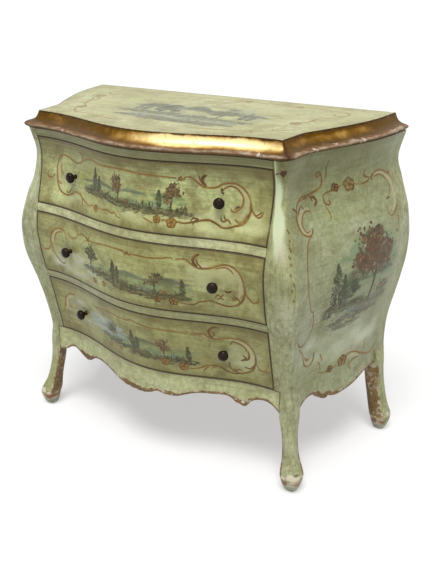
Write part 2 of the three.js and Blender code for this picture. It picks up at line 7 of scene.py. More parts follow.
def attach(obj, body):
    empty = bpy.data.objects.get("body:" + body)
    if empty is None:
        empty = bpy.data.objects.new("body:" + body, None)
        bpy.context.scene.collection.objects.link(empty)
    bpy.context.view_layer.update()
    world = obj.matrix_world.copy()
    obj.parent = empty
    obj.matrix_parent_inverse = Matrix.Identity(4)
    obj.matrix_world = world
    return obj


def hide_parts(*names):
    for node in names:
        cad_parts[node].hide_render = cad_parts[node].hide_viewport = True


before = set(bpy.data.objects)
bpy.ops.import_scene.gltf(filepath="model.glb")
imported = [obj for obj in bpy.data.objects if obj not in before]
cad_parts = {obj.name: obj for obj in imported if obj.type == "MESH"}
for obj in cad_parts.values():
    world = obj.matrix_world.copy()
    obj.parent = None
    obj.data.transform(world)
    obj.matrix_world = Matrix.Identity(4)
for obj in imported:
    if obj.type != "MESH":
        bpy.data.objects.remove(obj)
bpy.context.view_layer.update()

# Bombe chest in metres, front towards -Y. The shape formulas count y from the flat back.
case = {
    "height": 0.815, "top": 0.779, "depth": 0.463,
    "edge": (0.374, 0.042), "centre": (0.437, 0.026),    # at the waist, then the swell of the belly
    "corner": (0.340, 0.048), "back": (0.4405, 0.042),
    "radius": (0.016, 0.028), "valley": 0.300,
    "openingHalf": 0.318, "apronHalf": 0.334,
    "openingBottom": 0.243, "opening": 0.159, "rail": 0.020, "rearOfPost": -0.330,
    "edgeShares": [(0.17, -0.15), (0.24, -0.18), (0.31, -0.26), (0.41, 0.07), (0.5, 0.4), (0.57, 0.74),
                   (0.64, 0.94), (0.7, 1), (0.78, 0.66), (0.86, 0.2), (0.925, 0), (1, 0.27)],
    "centreShares": [(0.17, -0.4), (0.31, -0.35), (0.41, 0.15), (0.5, 0.6), (0.58, 0.95), (0.64, 1),
                     (0.7, 0.88), (0.78, 0.62), (0.86, 0.25), (0.925, 0.05), (1, 0.35)],
    "cornerShares": [(0.17, 0.6), (0.25, 0.53), (0.4, 0.5), (0.495, 0.72), (0.597, 1), (0.64, 0.99),
                     (0.715, 0.83), (0.8, 0.46), (0.845, 0.18), (0.93, 0), (1, 0.13)],
    "backShares": [(0.17, 0.14), (0.23, 0.1), (0.31, 0.02), (0.4, 0.12), (0.495, 0.5), (0.56, 0.76),
                   (0.62, 0.95), (0.69, 1), (0.774, 0.81), (0.818, 0.57), (0.862, 0.31), (0.92, 0.02),
                   (1, 0.36)],
    "sideShares": [(0, 0), (0.1, 0.035), (0.22, 0.1), (0.34, 0.31), (0.45, 0.49), (0.56, 0.66),
                   (0.68, 0.81), (0.83, 0.925), (1, 1)],
}
seatGap = 0.0003
pitch = case["opening"] + case["rail"]
backLine = case["depth"] / 2        # y of the flat back in the frame
step = 0.0026                       # how finely a plain painted face is meshed
fineStep = 0.0015                   # the same where brush lines are painted on it
sharpAngle = 38                     # edges sharper than this many degrees stay crisp


def mix(a, b, share):
    return a + (b - a) * share


def eased(s):
    return s * s * (3 - 2 * s)


def along(shares, t):
    # smooth curve through pairs of shares
    pairs = np.array(shares, float)
    at, value = pairs[:, 0], pairs[:, 1]
    slope = np.gradient(value)
    slope[1:-1] = (value[2:] - value[:-2]) / (at[2:] - at[:-2])
    slope[0] = (value[1] - value[0]) / (at[1] - at[0])
    slope[-1] = (value[-1] - value[-2]) / (at[-1] - at[-2])
    t = np.clip(np.asarray(t, float), at[0], at[-1])
    i = np.clip(np.searchsorted(at, t, side="right") - 1, 0, len(at) - 2)
    span = at[i + 1] - at[i]
    s = (t - at[i]) / span
    return (value[i] + (value[i + 1] - value[i]) * eased(s) + s * (1 - s) ** 2 * span * slope[i]
            + s * s * (s - 1) * span * slope[i + 1])


def casePlan(z):
    t = np.asarray(z, float) / case["top"]
    edge = along(case["edgeShares"], t)
    return {
        "edge": case["edge"][0] + case["edge"][1] * edge,
        "centre": case["centre"][0] + case["centre"][1] * along(case["centreShares"], t),
        "corner": case["corner"][0] + case["corner"][1] * along(case["cornerShares"], t),
        "back": case["back"][0] + case["back"][1] * along(case["backShares"], t),
        "radius": mix(case["radius"][0], case["radius"][1], np.maximum(edge, 0)),
        "valley": case["valley"],
    }


def frontLine(plan, x):
    reach = np.minimum(np.abs(x) / plan["valley"], 1)
    return -mix(plan["edge"], plan["centre"], (1 + np.cos(math.pi * reach)) / 2)


def sideLine(plan, y):
    return mix(plan["corner"], plan["back"], along(case["sideShares"], (y + plan["edge"]) / plan["edge"]))


def frontAt(x, z):
    return frontLine(casePlan(z), x)


def sideAt(y, z):
    return sideLine(casePlan(z), y)


def closeSteps(start, end, edges=True, size=step):
    # even stations, with a few close together at both ends for the rounded edges
    count = max(int(round((end - start) / size)), 2)
    line = np.linspace(start, end, count + 1)
    if not edges:
        return line
    near = np.array([0.0003, 0.0007, 0.0012])
    inner = line[(line > start + 0.002) & (line < end - 0.002)]
    return np.concatenate([[start], start + near, inner, end - near[::-1], [end]])


def roundedOff(distance, radius=0.0012):
    # how far a rounded edge falls back at a distance from the edge
    d = np.clip(distance, 0, radius)
    return radius - np.sqrt(np.maximum(radius * radius - (radius - d) ** 2, 0))


def gridFaces(rows, columns, base=0):
    i, j = np.meshgrid(np.arange(rows - 1), np.arange(columns - 1), indexing="ij")
    a = base + i * columns + j
    return np.stack([a, a + columns, a + columns + 1, a + 1], -1).reshape(-1, 4)


def volumeSign(points, faces):
    total = 0.0
    for face in faces:
        a = points[face[0]]
        for k in range(1, len(face) - 1):
            total += float(np.dot(a, np.cross(points[face[k]], points[face[k + 1]])))
    return total


def outwardFaces(points, quads, caps):
    a, b, c, d = (points[quads[:, k]] for k in range(4))
    total = np.sum(a * np.cross(b, c)) + np.sum(a * np.cross(c, d))
    total += volumeSign(points, caps) if caps else 0
    faces = quads.tolist() + [list(cap) for cap in caps]
    return faces if total > 0 else [face[::-1] for face in faces]


def makePiece(name, points, quads, caps, body, nodes, material, marks=None, second=None):
    # marks are painted onto the points; second is another finish with a mask of its faces
    points = np.asarray(points, float)
    faces = outwardFaces(points, np.asarray(quads), caps)
    placed = points.copy()
    placed[:, 1] += backLine
    mesh = bpy.data.meshes.new(name)
    mesh.from_pydata(placed.tolist(), [], faces)
    mesh.polygons.foreach_set("use_smooth", [True] * len(mesh.polygons))
    mesh.set_sharp_from_angle(angle=math.radians(sharpAngle))
    for key, values in (marks or {}).items():
        values = np.asarray(values, np.float32)
        if values.ndim == 1:
            layer = mesh.attributes.new(key, "FLOAT", "POINT")
            layer.data.foreach_set("value", values)
        else:
            layer = mesh.attributes.new(key, "FLOAT_COLOR", "POINT")
            layer.data.foreach_set("color", np.insert(values, 3, 1, 1).ravel())
    mesh.materials.append(material)
    if second is not None:
        mesh.materials.append(second[0])
        mesh.polygons.foreach_set("material_index", second[1].astype(np.int32))
    mesh.update()
    piece = bpy.data.objects.new(name, mesh)
    bpy.context.scene.collection.objects.link(piece)
    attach(piece, body)
    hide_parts(*nodes)


def shellOf(outer, inner):
    # closed board between a fine outer grid and an inner grid with the same rows but fewer columns
    rows, fine = outer.shape[:2]
    coarse = inner.shape[1]
    start = rows * fine
    points = np.concatenate([outer.reshape(-1, 3), inner.reshape(-1, 3)])
    i = np.arange(rows - 1)
    low = np.stack([i * fine, i * fine + fine, start + (i + 1) * coarse, start + i * coarse], -1)[:, ::-1]
    a, b = i * fine + fine - 1, start + i * coarse + coarse - 1
    high = np.stack([a, a + fine, b + coarse, b], -1)
    quads = np.concatenate([gridFaces(rows, fine), gridFaces(rows, coarse, start)[:, ::-1], low, high])
    last, lastIn = (rows - 1) * fine, start + (rows - 1) * coarse
    first = list(range(fine)) + [start + j for j in range(coarse - 1, -1, -1)]
    end = [last + j for j in range(fine)] + [lastIn + j for j in range(coarse - 1, -1, -1)]
    return points, quads, [first, end[::-1]]


def padded(values, total, fill=0.0):
    # marks for the painted face, then a plain value for the hidden faces
    rest = np.full((total - len(values),) + values.shape[1:], fill)
    return np.concatenate([values, rest])


def makeBoard(name, outer, inner, body, nodes, material, marks):
    # a board with marks painted on its outer face; its inner face and its edges show bare wood
    points, quads, caps = shellOf(outer, inner)
    painted = (outer.shape[0] - 1) * (outer.shape[1] - 1)
    marks = {key: padded(values.ravel() if values.shape == outer.shape[:2] else values, len(points))
             for key, values in marks.items()}
    makePiece(name, points, quads, caps, body, nodes, material, marks,
              second=(bareWood, np.arange(len(quads) + len(caps)) >= painted))


def coarseRows(values, count=8):
    # a few of the columns, first and last among them
    return values[:, np.unique(np.linspace(0, values.shape[1] - 1, count).round().astype(int))]


def loopSkin(loops):
    # closed skin through equal loops, with flat ends
    rows, count = loops.shape[:2]
    index = np.arange(rows * count).reshape(rows, count)
    a, b = index[:-1], index[1:]
    quads = np.stack([a, np.roll(a, -1, 1), np.roll(b, -1, 1), b], -1).reshape(-1, 4)
    return loops.reshape(-1, 3), quads, [index[0][::-1].tolist(), index[-1].tolist()]


# Camera of the photograph
view = {
    "place": (1.0227, -1.4770, 1.1728),
    "right": (0.8477, 0.5303, -0.0164),
    "up": (-0.2030, 0.3528, 0.9134),
    "ahead": (-0.4902, 0.7709, -0.4067),
    "lens": 776.24 * 36 / 576,
}


def setCamera():
    camera = bpy.data.objects.new("photo_camera", bpy.data.cameras.new("photo_camera"))
    bpy.context.scene.collection.objects.link(camera)
    right, up, ahead = Vector(view["right"]), Vector(view["up"]), Vector(view["ahead"])
    turn = Matrix((right, up, -ahead)).transposed().to_4x4()
    camera.matrix_world = Matrix.Translation(view["place"]) @ turn
    camera.data.lens = view["lens"]
    camera.data.sensor_width = 36
    camera.data.clip_end = 100
    bpy.context.scene.camera = camera


class Value:
    # the output of a node, which adds and multiplies like a number
    def __init__(self, socket):
        self.socket = socket

    def made(self, kind, settings, inputs):
        return Value(place(self.socket.id_data, kind, settings, inputs).outputs[0])

    def math(self, how, a, b):
        return self.made("Math", {"operation": how}, {0: a, 1: b})

    def __add__(self, other):
        return self.math("ADD", self, other)

    def __sub__(self, other):
        return self.math("SUBTRACT", self, other)

    def __rsub__(self, other):
        return self.math("SUBTRACT", other, self)

    def __mul__(self, other):
        return self.math("MULTIPLY", self, other)

    def most(self, other):
        return self.math("MAXIMUM", self, other)

    def between(self, low, high, start=0.0, end=1.0):
        return self.made("MapRange", {"interpolation_type": "SMOOTHSTEP"}, {
            "Value": self, "From Min": low, "From Max": high, "To Min": start, "To Max": end})

    def stretched(self, by):
        return self.made("VectorMath", {"operation": "MULTIPLY"}, {0: self, 1: by})

    def cloud(self, scale, detail=3.0, rough=0.55, distortion=0.0):
        return self.made("TexNoise", None, {"Vector": self, "Scale": scale, "Detail": detail,
                                            "Roughness": rough, "Distortion": distortion})


def feed(sockets, values):
    for key, value in values.items():
        if isinstance(value, Value):
            value.socket.id_data.links.new(value.socket, sockets[key])
        else:
            sockets[key].default_value = value


def place(tree, kind, settings=None, inputs=None):
    # one node with its settings, its values and its incoming links
    node = tree.nodes.new("ShaderNode" + kind)
    for key, value in (settings or {}).items():
        setattr(node, key, value)
    feed(node.inputs, inputs or {})
    return node


def blend(share, under, over, how="MIX", kind="RGBA"):
    tree = next(value for value in (share, under, over) if isinstance(value, Value)).socket.id_data
    inputs = {"Factor": share, "A": under, "B": over}
    return Value(place(tree, "Mix", {"data_type": kind, "blend_type": how}, inputs).outputs["Result"])


def placeIn(tree):
    return Value(place(tree, "TexCoord").outputs["Object"])


def newGroup(name, inputs, outputs):
    tree = bpy.data.node_groups.new(name, "ShaderNodeTree")
    for label, value in inputs.items():
        kind = "Float" if isinstance(value, float) else "Vector" if len(value) == 3 else "Color"
        socket = tree.interface.new_socket(label, in_out="INPUT", socket_type="NodeSocket" + kind)
        socket.default_value = value
    for label in outputs:
        kind = "Color" if label == "Colour" else "Float"
        tree.interface.new_socket(label, in_out="OUTPUT", socket_type="NodeSocket" + kind)
    given = tree.nodes.new("NodeGroupInput").outputs
    return tree, {label: Value(given[label]) for label in inputs}, tree.nodes.new("NodeGroupOutput").inputs


def rgb(r, g, b):
    return (r, g, b, 1.0)


def useGroup(tree, group, inputs):
    node = tree.nodes.new("ShaderNodeGroup")
    node.node_tree = group
    feed(node.inputs, inputs)
    return {socket.name: Value(socket) for socket in node.outputs}


def mark(tree, name, output="Fac"):
    return Value(place(tree, "Attribute", {"attribute_name": name}).outputs[output])


def freshMaterial(name):
    material = bpy.data.materials.new(name)
    material.use_nodes = True
    tree = material.node_tree
    return material, tree, tree.nodes["Principled BSDF"].inputs


def bumped(height, distance, strength):
    return height.made("Bump", None, {"Height": height, "Distance": distance, "Strength": strength})


# Studio: pale floor, a high soft lamp, and an even world
studio = {
    "floor": 30, "floorSeen": 0.46, "floorGlow": 0.47, "floorBounce": 0.66,
    "skyLevel": 0.32, "sunLevel": 3.1, "sunFrom": (0.17, -0.4, 1.25), "sunSoftness": 30,
}


def seenShare(tree, low, high):
    # whether the camera or a reflection sees it, and one level for that and another for bounced light
    path = place(tree, "LightPath").outputs
    seen = Value(path["Is Camera Ray"]).most(Value(path["Is Glossy Ray"]))
    level = place(tree, "MapRange", None, {"Value": seen, "To Min": low, "To Max": high})
    return seen, Value(level.outputs["Result"])


def setStudio():
    half = studio["floor"]
    mesh = bpy.data.meshes.new("studio_floor")
    corners = [(-half, -half, 0), (half, -half, 0), (half, half, 0), (-half, half, 0)]
    mesh.from_pydata(corners, [], [(0, 1, 2, 3)])
    floor = bpy.data.objects.new("studio_floor", mesh)
    bpy.context.scene.collection.objects.link(floor)
    paper, tree, shader = freshMaterial("studio_paper")
    seen, glow = seenShare(tree, 0.0, studio["floorGlow"])
    tone = blend(seen, rgb(*[studio["floorBounce"]] * 3), rgb(*[studio["floorSeen"]] * 3))
    feed(shader, {"Base Color": tone, "Roughness": 0.9, "Specular IOR Level": 0.0,
                  "Emission Color": rgb(1, 1, 1), "Emission Strength": glow})
    mesh.materials.append(paper)

    world = bpy.data.worlds.new("studio_world")
    bpy.context.scene.world = world
    world.use_nodes = True
    _, level = seenShare(world.node_tree, studio["skyLevel"], 1.0)
    feed(world.node_tree.nodes["Background"].inputs, {"Color": rgb(1, 1, 1), "Strength": level})

    lamp = bpy.data.objects.new("high_lamp", bpy.data.lights.new("high_lamp", "SUN"))
    bpy.context.scene.collection.objects.link(lamp)
    lamp.data.energy = studio["sunLevel"]
    lamp.data.angle = math.radians(studio["sunSoftness"])
    lamp.rotation_euler = Vector(studio["sunFrom"]).to_track_quat("Z", "Y").to_euler()
    bpy.context.scene.view_settings.view_transform = "Standard"


setCamera()
setStudio()
print("camera and studio are set")


# Aged oil paint: glaze in patches and near edges, brush streaks, specks, fine cracks, worn rims, painted
# shade where it is marked, and a dark line by joints
def agedPaintGroup():
    tree, given, out = newGroup("agedPaint", {
        "Colour": rgb(0.5, 0.5, 0.3), "Pale": rgb(0.6, 0.6, 0.4), "GlazeAndShade": rgb(0.3, 0.22, 0.08),
        "Worn": rgb(0.7, 0.62, 0.45), "Grain": (6, 6, 260), "Edge": 0.0, "Patches": 0.5, "Streaks": 0.5,
        "Grime": 0.5, "Wear": 0.5, "Cracks": 0.5, "Shade": 0.0, "Seam": 0.3,
    }, ["Colour", "Roughness", "Height"])
    glazeAndShade = given["GlazeAndShade"]
    where = placeIn(tree)
    wide = where.cloud(4.5, 4.0, 0.6)
    middle = where.cloud(19, 4.0, 0.6, 0.4)
    mottle = where.cloud(110, 3.0, 0.6)
    fine = where.cloud(420, 2.0, 0.5)
    brushed = where.stretched(given["Grain"]).cloud(1.0, 3.0, 0.6)
    drawn = where.stretched(given["Grain"]).cloud(2.7, 2.0, 0.5)

    paint = blend(wide.between(0.42, 0.66) * given["Patches"], given["Colour"], given["Pale"])
    paint = blend(middle.between(0.44, 0.66) * (given["Patches"] * 0.6), paint, glazeAndShade)
    paint = blend(brushed.between(0.47, 0.66) * (given["Streaks"] * 0.55), paint, glazeAndShade)
    paint = blend(drawn.between(0.55, 0.68) * (given["Streaks"] * 0.45), paint, given["Pale"])
    tone = mottle.between(0.3, 0.7, 0.83, 1.15) * fine.between(0.3, 0.7, 0.9, 1.1)
    tone = Value(place(tree, "CombineColor", None, {0: tone, 1: tone, 2: tone}).outputs[0])
    paint = blend(1.0, paint, tone, "MULTIPLY")

    # grime gathers within a couple of centimetres of an edge
    ragged = given["Edge"] + (middle - 0.5) * 22.0
    paint = blend(ragged.between(14.0, 42.0) * given["Grime"], paint, glazeAndShade)
    # painted shade: the glaze colour laid over the paint where the shade mark is set
    paint = blend(given["Shade"] * brushed.between(0.25, 0.7, 0.55, 1.0), paint, glazeAndShade)
    specks = fine.between(0.69, 0.74) * middle.between(0.42, 0.6)
    paint = blend(specks * 0.7, paint, rgb(0.06, 0.045, 0.025))

    jitter = Value(place(tree, "TexNoise", None, {"Vector": where, "Scale": 30.0}).outputs["Color"])
    jitter = jitter.stretched((0.012, 0.012, 0.012))
    bent = where.made("VectorMath", {"operation": "ADD"}, {0: where, 1: jitter})
    cell = bent.made("TexVoronoi", {"feature": "DISTANCE_TO_EDGE"}, {"Vector": bent, "Scale": 62.0})
    crack = 1.0 - cell.between(0.0, 0.035)
    crack = crack * (wide.between(0.5, 0.62) * given["Cracks"])
    paint = blend(crack * 0.5, paint, rgb(0.1, 0.075, 0.035))

    # paint rubbed through at the very edge
    rim = given["Edge"] + (mottle - 0.5) * 9.0
    worn = rim.between(38.2, 39.6) * middle.between(0.42, 0.58) * given["Wear"]
    paint = blend(worn, paint, given["Worn"])

    # a dark line on the last millimetre or two by a joint: dirt in it, and painted shade that widens the dark
    # of the gap
    seam = given["Edge"] + (fine - 0.5) * 3.0
    paint = blend(seam.between(36.6, 38.4) * given["Seam"], paint, rgb(0.055, 0.04, 0.018))
    feed(out, {"Colour": paint, "Roughness": (mottle + worn * 0.4).between(0.3, 0.9, 0.36, 0.62),
               "Height": brushed * 0.5 + mottle * 0.35 - (crack * 0.5 + worn * 0.5)})
    return tree


# Brush lines: the mark holds 10 less the distance from the line in millimetres
def brushLinesGroup():
    tree, given, out = newGroup("brushLines", {
        "Under": rgb(0.5, 0.5, 0.3), "Line": 0.0, "Tone": 0.5, "Pale": 0.0, "Ochre": rgb(0.42, 0.2, 0.05),
        "Umber": rgb(0.12, 0.05, 0.02), "Cream": rgb(0.66, 0.62, 0.4), "Strength": 1.0,
    }, ["Colour", "Mask"])
    where = placeIn(tree)
    shaky = where.cloud(260, 2.0) - 0.5
    thin = where.cloud(38, 3.0, 0.6)
    line = given["Line"] + shaky * 1.6
    cover = line.between(9.1, 10.0) * thin.between(0.26, 0.48, 0.5, 1.0) * given["Strength"]
    pale = (given["Pale"] + shaky * 3.0).between(8.2, 11.0) * 0.55
    shaded = given["Tone"] + (thin - 0.5) * 0.9
    ink = blend(shaded.between(0.25, 0.95), given["Ochre"], given["Umber"])
    paint = blend(pale, given["Under"], given["Cream"])
    paint = blend(line.between(6.5, 10.0) * 0.25, paint, given["Ochre"])
    feed(out, {"Colour": blend(cover, paint, ink), "Mask": cover})
    return tree


# Worn gilding: leaf over red clay, with chips down to the white ground
def wornGildingGroup():
    tree, given, out = newGroup("wornGilding", {
        "Bright": 0.5, "Rub": 0.4, "Chips": 0.2, "Dirt": 0.3, "Gold": rgb(0.97, 0.8, 0.38),
        "Amber": rgb(0.52, 0.25, 0.03), "Dull": rgb(0.12, 0.058, 0.004), "Clay": rgb(0.15, 0.055, 0.022),
        "Ground": rgb(0.66, 0.58, 0.47),
    }, ["Colour", "Metallic", "Roughness", "Height"])
    where = placeIn(tree)
    wide = where.cloud(14, 4.0, 0.6)
    small = where.cloud(95, 4.0, 0.65)
    fine = where.cloud(330, 3.0, 0.6)
    shine = (given["Bright"] + (wide - 0.5) * 1.2).between(0.12, 0.88)
    leaf = blend(shine, blend(shine, given["Dull"], given["Amber"]),
                 blend(shine, given["Amber"], given["Gold"]))
    rubbed = (small + given["Rub"]).between(0.78, 1.02)
    leaf = blend(rubbed * 0.8, leaf, given["Clay"])
    dirty = (fine + given["Dirt"]).between(0.82, 1.02)
    leaf = blend(dirty * 0.75, leaf, rgb(0.05, 0.028, 0.012))
    chip = (small * 0.6 + wide * 0.4 + given["Chips"]).between(0.8, 0.84)
    sound = (1.0 - rubbed) * (1.0 - chip)
    feed(out, {"Colour": blend(chip, leaf, given["Ground"]), "Metallic": sound * 0.86,
               "Roughness": (fine - sound * 0.25).between(0.0, 0.8, 0.3, 0.6),
               "Height": small * 0.5 - chip * 0.8})
    return tree


agedPaint = agedPaintGroup()
brushLines = brushLinesGroup()
wornGilding = wornGildingGroup()


# A painted finish: aged paint, then the painted view, then brush lines, then gilding where it is marked
def paintedFinish(name, paint, lines=None, coat=0.1, gilt=None):
    material, tree, shader = freshMaterial(name)
    where = placeIn(tree)
    ground = useGroup(tree, agedPaint, {
        **paint, "Edge": mark(tree, "edgeNear"), "Shade": mark(tree, "shadeNear")})
    colour, rough, height = ground["Colour"], ground["Roughness"], ground["Height"]
    if lines:
        broken = (where.cloud(330, 3.0, 0.65) - 0.5) * 1.1
        cover = mark(tree, "viewCover")
        cover = (cover + broken * cover).between(0.02, 0.36) * 0.97
        colour = blend(cover, colour, mark(tree, "viewColour", "Color"))
        brushed = useGroup(tree, brushLines, {
            **lines, "Under": colour, "Line": mark(tree, "lineNear"), "Tone": mark(tree, "lineTone"),
            "Pale": mark(tree, "paleNear")})
        colour, height = brushed["Colour"], height + brushed["Mask"] * 0.25
    if gilt:
        leaf = useGroup(tree, wornGilding, gilt)
        share = mark(tree, "giltNear") + (where.cloud(90, 4.0, 0.6) - 0.5) * 0.8
        rim = share.between(0.25, 0.5) * (1.0 - share.between(0.55, 0.95))
        hollow = share.between(0.75, 1.3) * 0.5
        share = share.between(0.34, 0.68)
        colour = blend(share, colour, blend(hollow, leaf["Colour"], rgb(0.1, 0.062, 0.025)))
        colour = blend(rim * where.cloud(75, 3.0).between(0.4, 0.62, 0.0, 0.7), colour, gilt["Ground"])
        rough = blend(share, rough, leaf["Roughness"], kind="FLOAT")
        height = height + share * leaf["Height"]
        feed(shader, {"Metallic": share * leaf["Metallic"]})
    feed(shader, {"Base Color": colour, "Roughness": rough, "Coat Weight": coat, "Coat Roughness": 0.3,
                  "Specular IOR Level": 0.3, "Normal": bumped(height, 0.0008, 0.5)})
    return material


acrossGrain = (5.0, 5.0, 240.0)      # brush strokes level, seen on the front and the sides
finishes = {
    "case": {"Colour": rgb(0.47, 0.485, 0.245), "Pale": rgb(0.6, 0.625, 0.375),
             "GlazeAndShade": rgb(0.2, 0.19, 0.075), "Worn": rgb(0.62, 0.58, 0.4), "Grain": acrossGrain,
             "Patches": 0.7, "Streaks": 0.5, "Grime": 0.22, "Wear": 0.3, "Cracks": 0.6, "Seam": 0.9},
    "side": {"Colour": rgb(0.295, 0.315, 0.153), "Pale": rgb(0.405, 0.43, 0.268),
             "GlazeAndShade": rgb(0.18, 0.175, 0.065), "Worn": rgb(0.62, 0.56, 0.38), "Grain": acrossGrain,
             "Patches": 0.9, "Streaks": 0.5, "Grime": 0.45, "Wear": 0.5, "Cracks": 0.9, "Seam": 0.4},
    "post": {"Colour": rgb(0.32, 0.332, 0.152), "Pale": rgb(0.475, 0.495, 0.31),
             "GlazeAndShade": rgb(0.165, 0.16, 0.05), "Worn": rgb(0.62, 0.56, 0.38), "Grain": (170.0, 170.0, 5.0),
             "Patches": 0.95, "Streaks": 0.95, "Grime": 0.45, "Wear": 0.5, "Cracks": 0.5, "Seam": 0.8},
    "drawer": {"Colour": rgb(0.37, 0.375, 0.14), "Pale": rgb(0.5, 0.54, 0.24),
               "GlazeAndShade": rgb(0.15, 0.115, 0.028), "Worn": rgb(0.5, 0.4, 0.22), "Grain": acrossGrain,
               "Patches": 1.0, "Streaks": 0.6, "Grime": 0.5, "Wear": 0.2, "Cracks": 0.6, "Seam": 0.96},
    "top": {"Colour": rgb(0.42, 0.42, 0.2), "Pale": rgb(0.53, 0.53, 0.29),
            "GlazeAndShade": rgb(0.24, 0.21, 0.075), "Worn": rgb(0.7, 0.63, 0.45), "Grain": (5.0, 240.0, 5.0),
            "Patches": 0.9, "Streaks": 0.8, "Grime": 0.4, "Wear": 1.0, "Cracks": 0.5, "Seam": 0.0},
    "lines": {"Ochre": rgb(0.28, 0.155, 0.026), "Umber": rgb(0.07, 0.031, 0.007),
              "Cream": rgb(0.52, 0.47, 0.28), "Strength": 1.0},
    "faintLines": {"Ochre": rgb(0.28, 0.17, 0.05), "Umber": rgb(0.12, 0.08, 0.03),
                   "Cream": rgb(0.6, 0.56, 0.36), "Strength": 0.85},
    "edgeGilt": {"Bright": 0.36, "Rub": 0.26, "Chips": 0.25, "Dirt": 0.36,
                 "Gold": rgb(0.46, 0.36, 0.18), "Amber": rgb(0.24, 0.145, 0.055),
                 "Dull": rgb(0.2, 0.135, 0.06), "Clay": rgb(0.19, 0.115, 0.06),
                 "Ground": rgb(0.54, 0.48, 0.36)},
}

casePaint = paintedFinish("casePaint", finishes["case"], gilt=finishes["edgeGilt"])
postPaint = paintedFinish("postPaint", finishes["post"], finishes["lines"], gilt=finishes["edgeGilt"])
sidePaint = paintedFinish("sidePaint", finishes["side"], finishes["lines"], gilt=finishes["edgeGilt"])
drawerPaint = paintedFinish("drawerPaint", finishes["drawer"], finishes["lines"], 0.15)
topPaint = paintedFinish("topPaint", finishes["top"], finishes["faintLines"], 0.05)


def mouldingFinish():
    material, tree, shader = freshMaterial("gildedMoulding")
    where = placeIn(tree)
    down, mitre = mark(tree, "downShare"), mark(tree, "mitreNear")
    patchy = where.cloud(48, 5.0, 0.7)
    lip = down.between(0.6, 0.68)
    leaf = useGroup(tree, wornGilding, {
        "Bright": mark(tree, "leafShineAndHighlight") - lip * 0.3, "Rub": lip * 0.3 + 0.24,
        "Chips": lip * 0.08 + 0.06 + mark(tree, "chipNear"), "Dirt": 0.24,
        "Clay": rgb(0.19, 0.1, 0.05), "Ground": rgb(0.68, 0.61, 0.52)})
    # a thin worn line along the lip, dirt at the top of the cove and in the mitre, and painted shade on the
    # underside of the lip
    shaky = down + (where.cloud(22, 4.0, 0.7) - 0.5) * 0.35
    worn = shaky.between(0.66, 0.73) * (1.0 - shaky.between(0.76, 0.86))
    worn = worn * patchy.between(0.36, 0.64, 0.15, 0.75)
    dirt = 1.0 - (down + (patchy - 0.5) * 0.5).between(0.02, 0.14)
    # painted shade on the underside of the lip
    under = down.between(0.84, 0.95)
    colour = leaf["Colour"]
    for share, tone in [(worn, rgb(0.5, 0.4, 0.29)), (dirt * 0.9, rgb(0.035, 0.02, 0.008)),
                        (under, rgb(0.1, 0.06, 0.03)), (mitre, rgb(0.06, 0.02, 0.008))]:
        colour = blend(share, colour, tone)
    bare = worn.most(dirt).most(under.most(mitre))
    feed(shader, {"Base Color": colour, "Metallic": leaf["Metallic"] * (1.0 - bare),
                  "Roughness": leaf["Roughness"], "Specular IOR Level": 0.08,
                  "Normal": bumped(leaf["Height"], 0.001, 0.6)})
    return material


def woodFinish(name, turned=False):
    # the grain runs across the chest, or from front to back where it is turned
    material, tree, shader = freshMaterial(name)
    where = placeIn(tree)
    long, short = [where.stretched((across, length, across) if turned else (length, across, across))
                   for length, across in [(3.0, 210.0), (14.0, 700.0)]]
    grain, pore, stain = long.cloud(1.0, 5.0, 0.6, 0.5), short.cloud(1.0, 3.0, 0.6), where.cloud(7, 4.0)
    colour = blend(grain.between(0.3, 0.72), rgb(0.42, 0.27, 0.13), rgb(0.22, 0.125, 0.055))
    colour = blend(pore.between(0.55, 0.75) * 0.5, colour, rgb(0.12, 0.065, 0.03))
    colour = blend(stain.between(0.5, 0.75) * 0.5, colour, rgb(0.2, 0.12, 0.06))
    feed(shader, {"Base Color": colour, "Roughness": grain.between(0.3, 0.7, 0.62, 0.8),
                  "Normal": bumped(grain + pore, 0.0004, 0.4)})
    return material


def knobFinish():
    material, tree, shader = freshMaterial("knobEbony")
    where = placeIn(tree)
    rubbed = where.cloud(210, 3.0).between(0.52, 0.7)
    streak = where.stretched((60.0, 700.0, 60.0)).cloud(1.0, 3.0)
    colour = blend(streak.between(0.4, 0.7), rgb(0.01, 0.006, 0.004), rgb(0.026, 0.014, 0.008))
    feed(shader, {"Base Color": blend(rubbed * 0.5, colour, rgb(0.05, 0.026, 0.014)),
                  "Roughness": rubbed.between(0.0, 1.0, 0.2, 0.45), "Specular IOR Level": 0.12,
                  "Normal": bumped(streak, 0.0003, 0.3)})
    return material


def steelFinish():
    material, tree, shader = freshMaterial("screwSteel")
    dull = placeIn(tree).cloud(500, 3.0)
    colour = blend(dull.between(0.4, 0.7), rgb(0.3, 0.29, 0.27), rgb(0.16, 0.11, 0.08))
    feed(shader, {"Base Color": colour, "Roughness": dull.between(0.3, 0.7, 0.3, 0.55), "Metallic": 1.0,
                  "Normal": bumped(dull, 0.0002, 0.3)})
    return material


gilding = mouldingFinish()
bareWood, turnedWood = woodFinish("bareWood"), woodFinish("bareWoodTurned", True)
knobEbony = knobFinish()
screwSteel = steelFinish()
print("finishes are mixed")


def smoothLine(points, steps):
    # smooth line through every point
    points = np.array(points, float)
    extended = np.concatenate([[2 * points[0] - points[1]], points, [2 * points[-1] - points[-2]]])
    out = []
    for k in range(len(points) - 1):
        p0, p1, p2, p3 = extended[k:k + 4]
        t = np.linspace(0, 1, steps + 1)[:-1, None]
        out.append(0.5 * (2 * p1 + (p2 - p0) * t + (2 * p0 - 5 * p1 + 4 * p2 - p3) * t * t
                          + (3 * p1 - p0 - 3 * p2 + p3) * t ** 3))
    out.append(points[-1:])
    return np.concatenate(out)


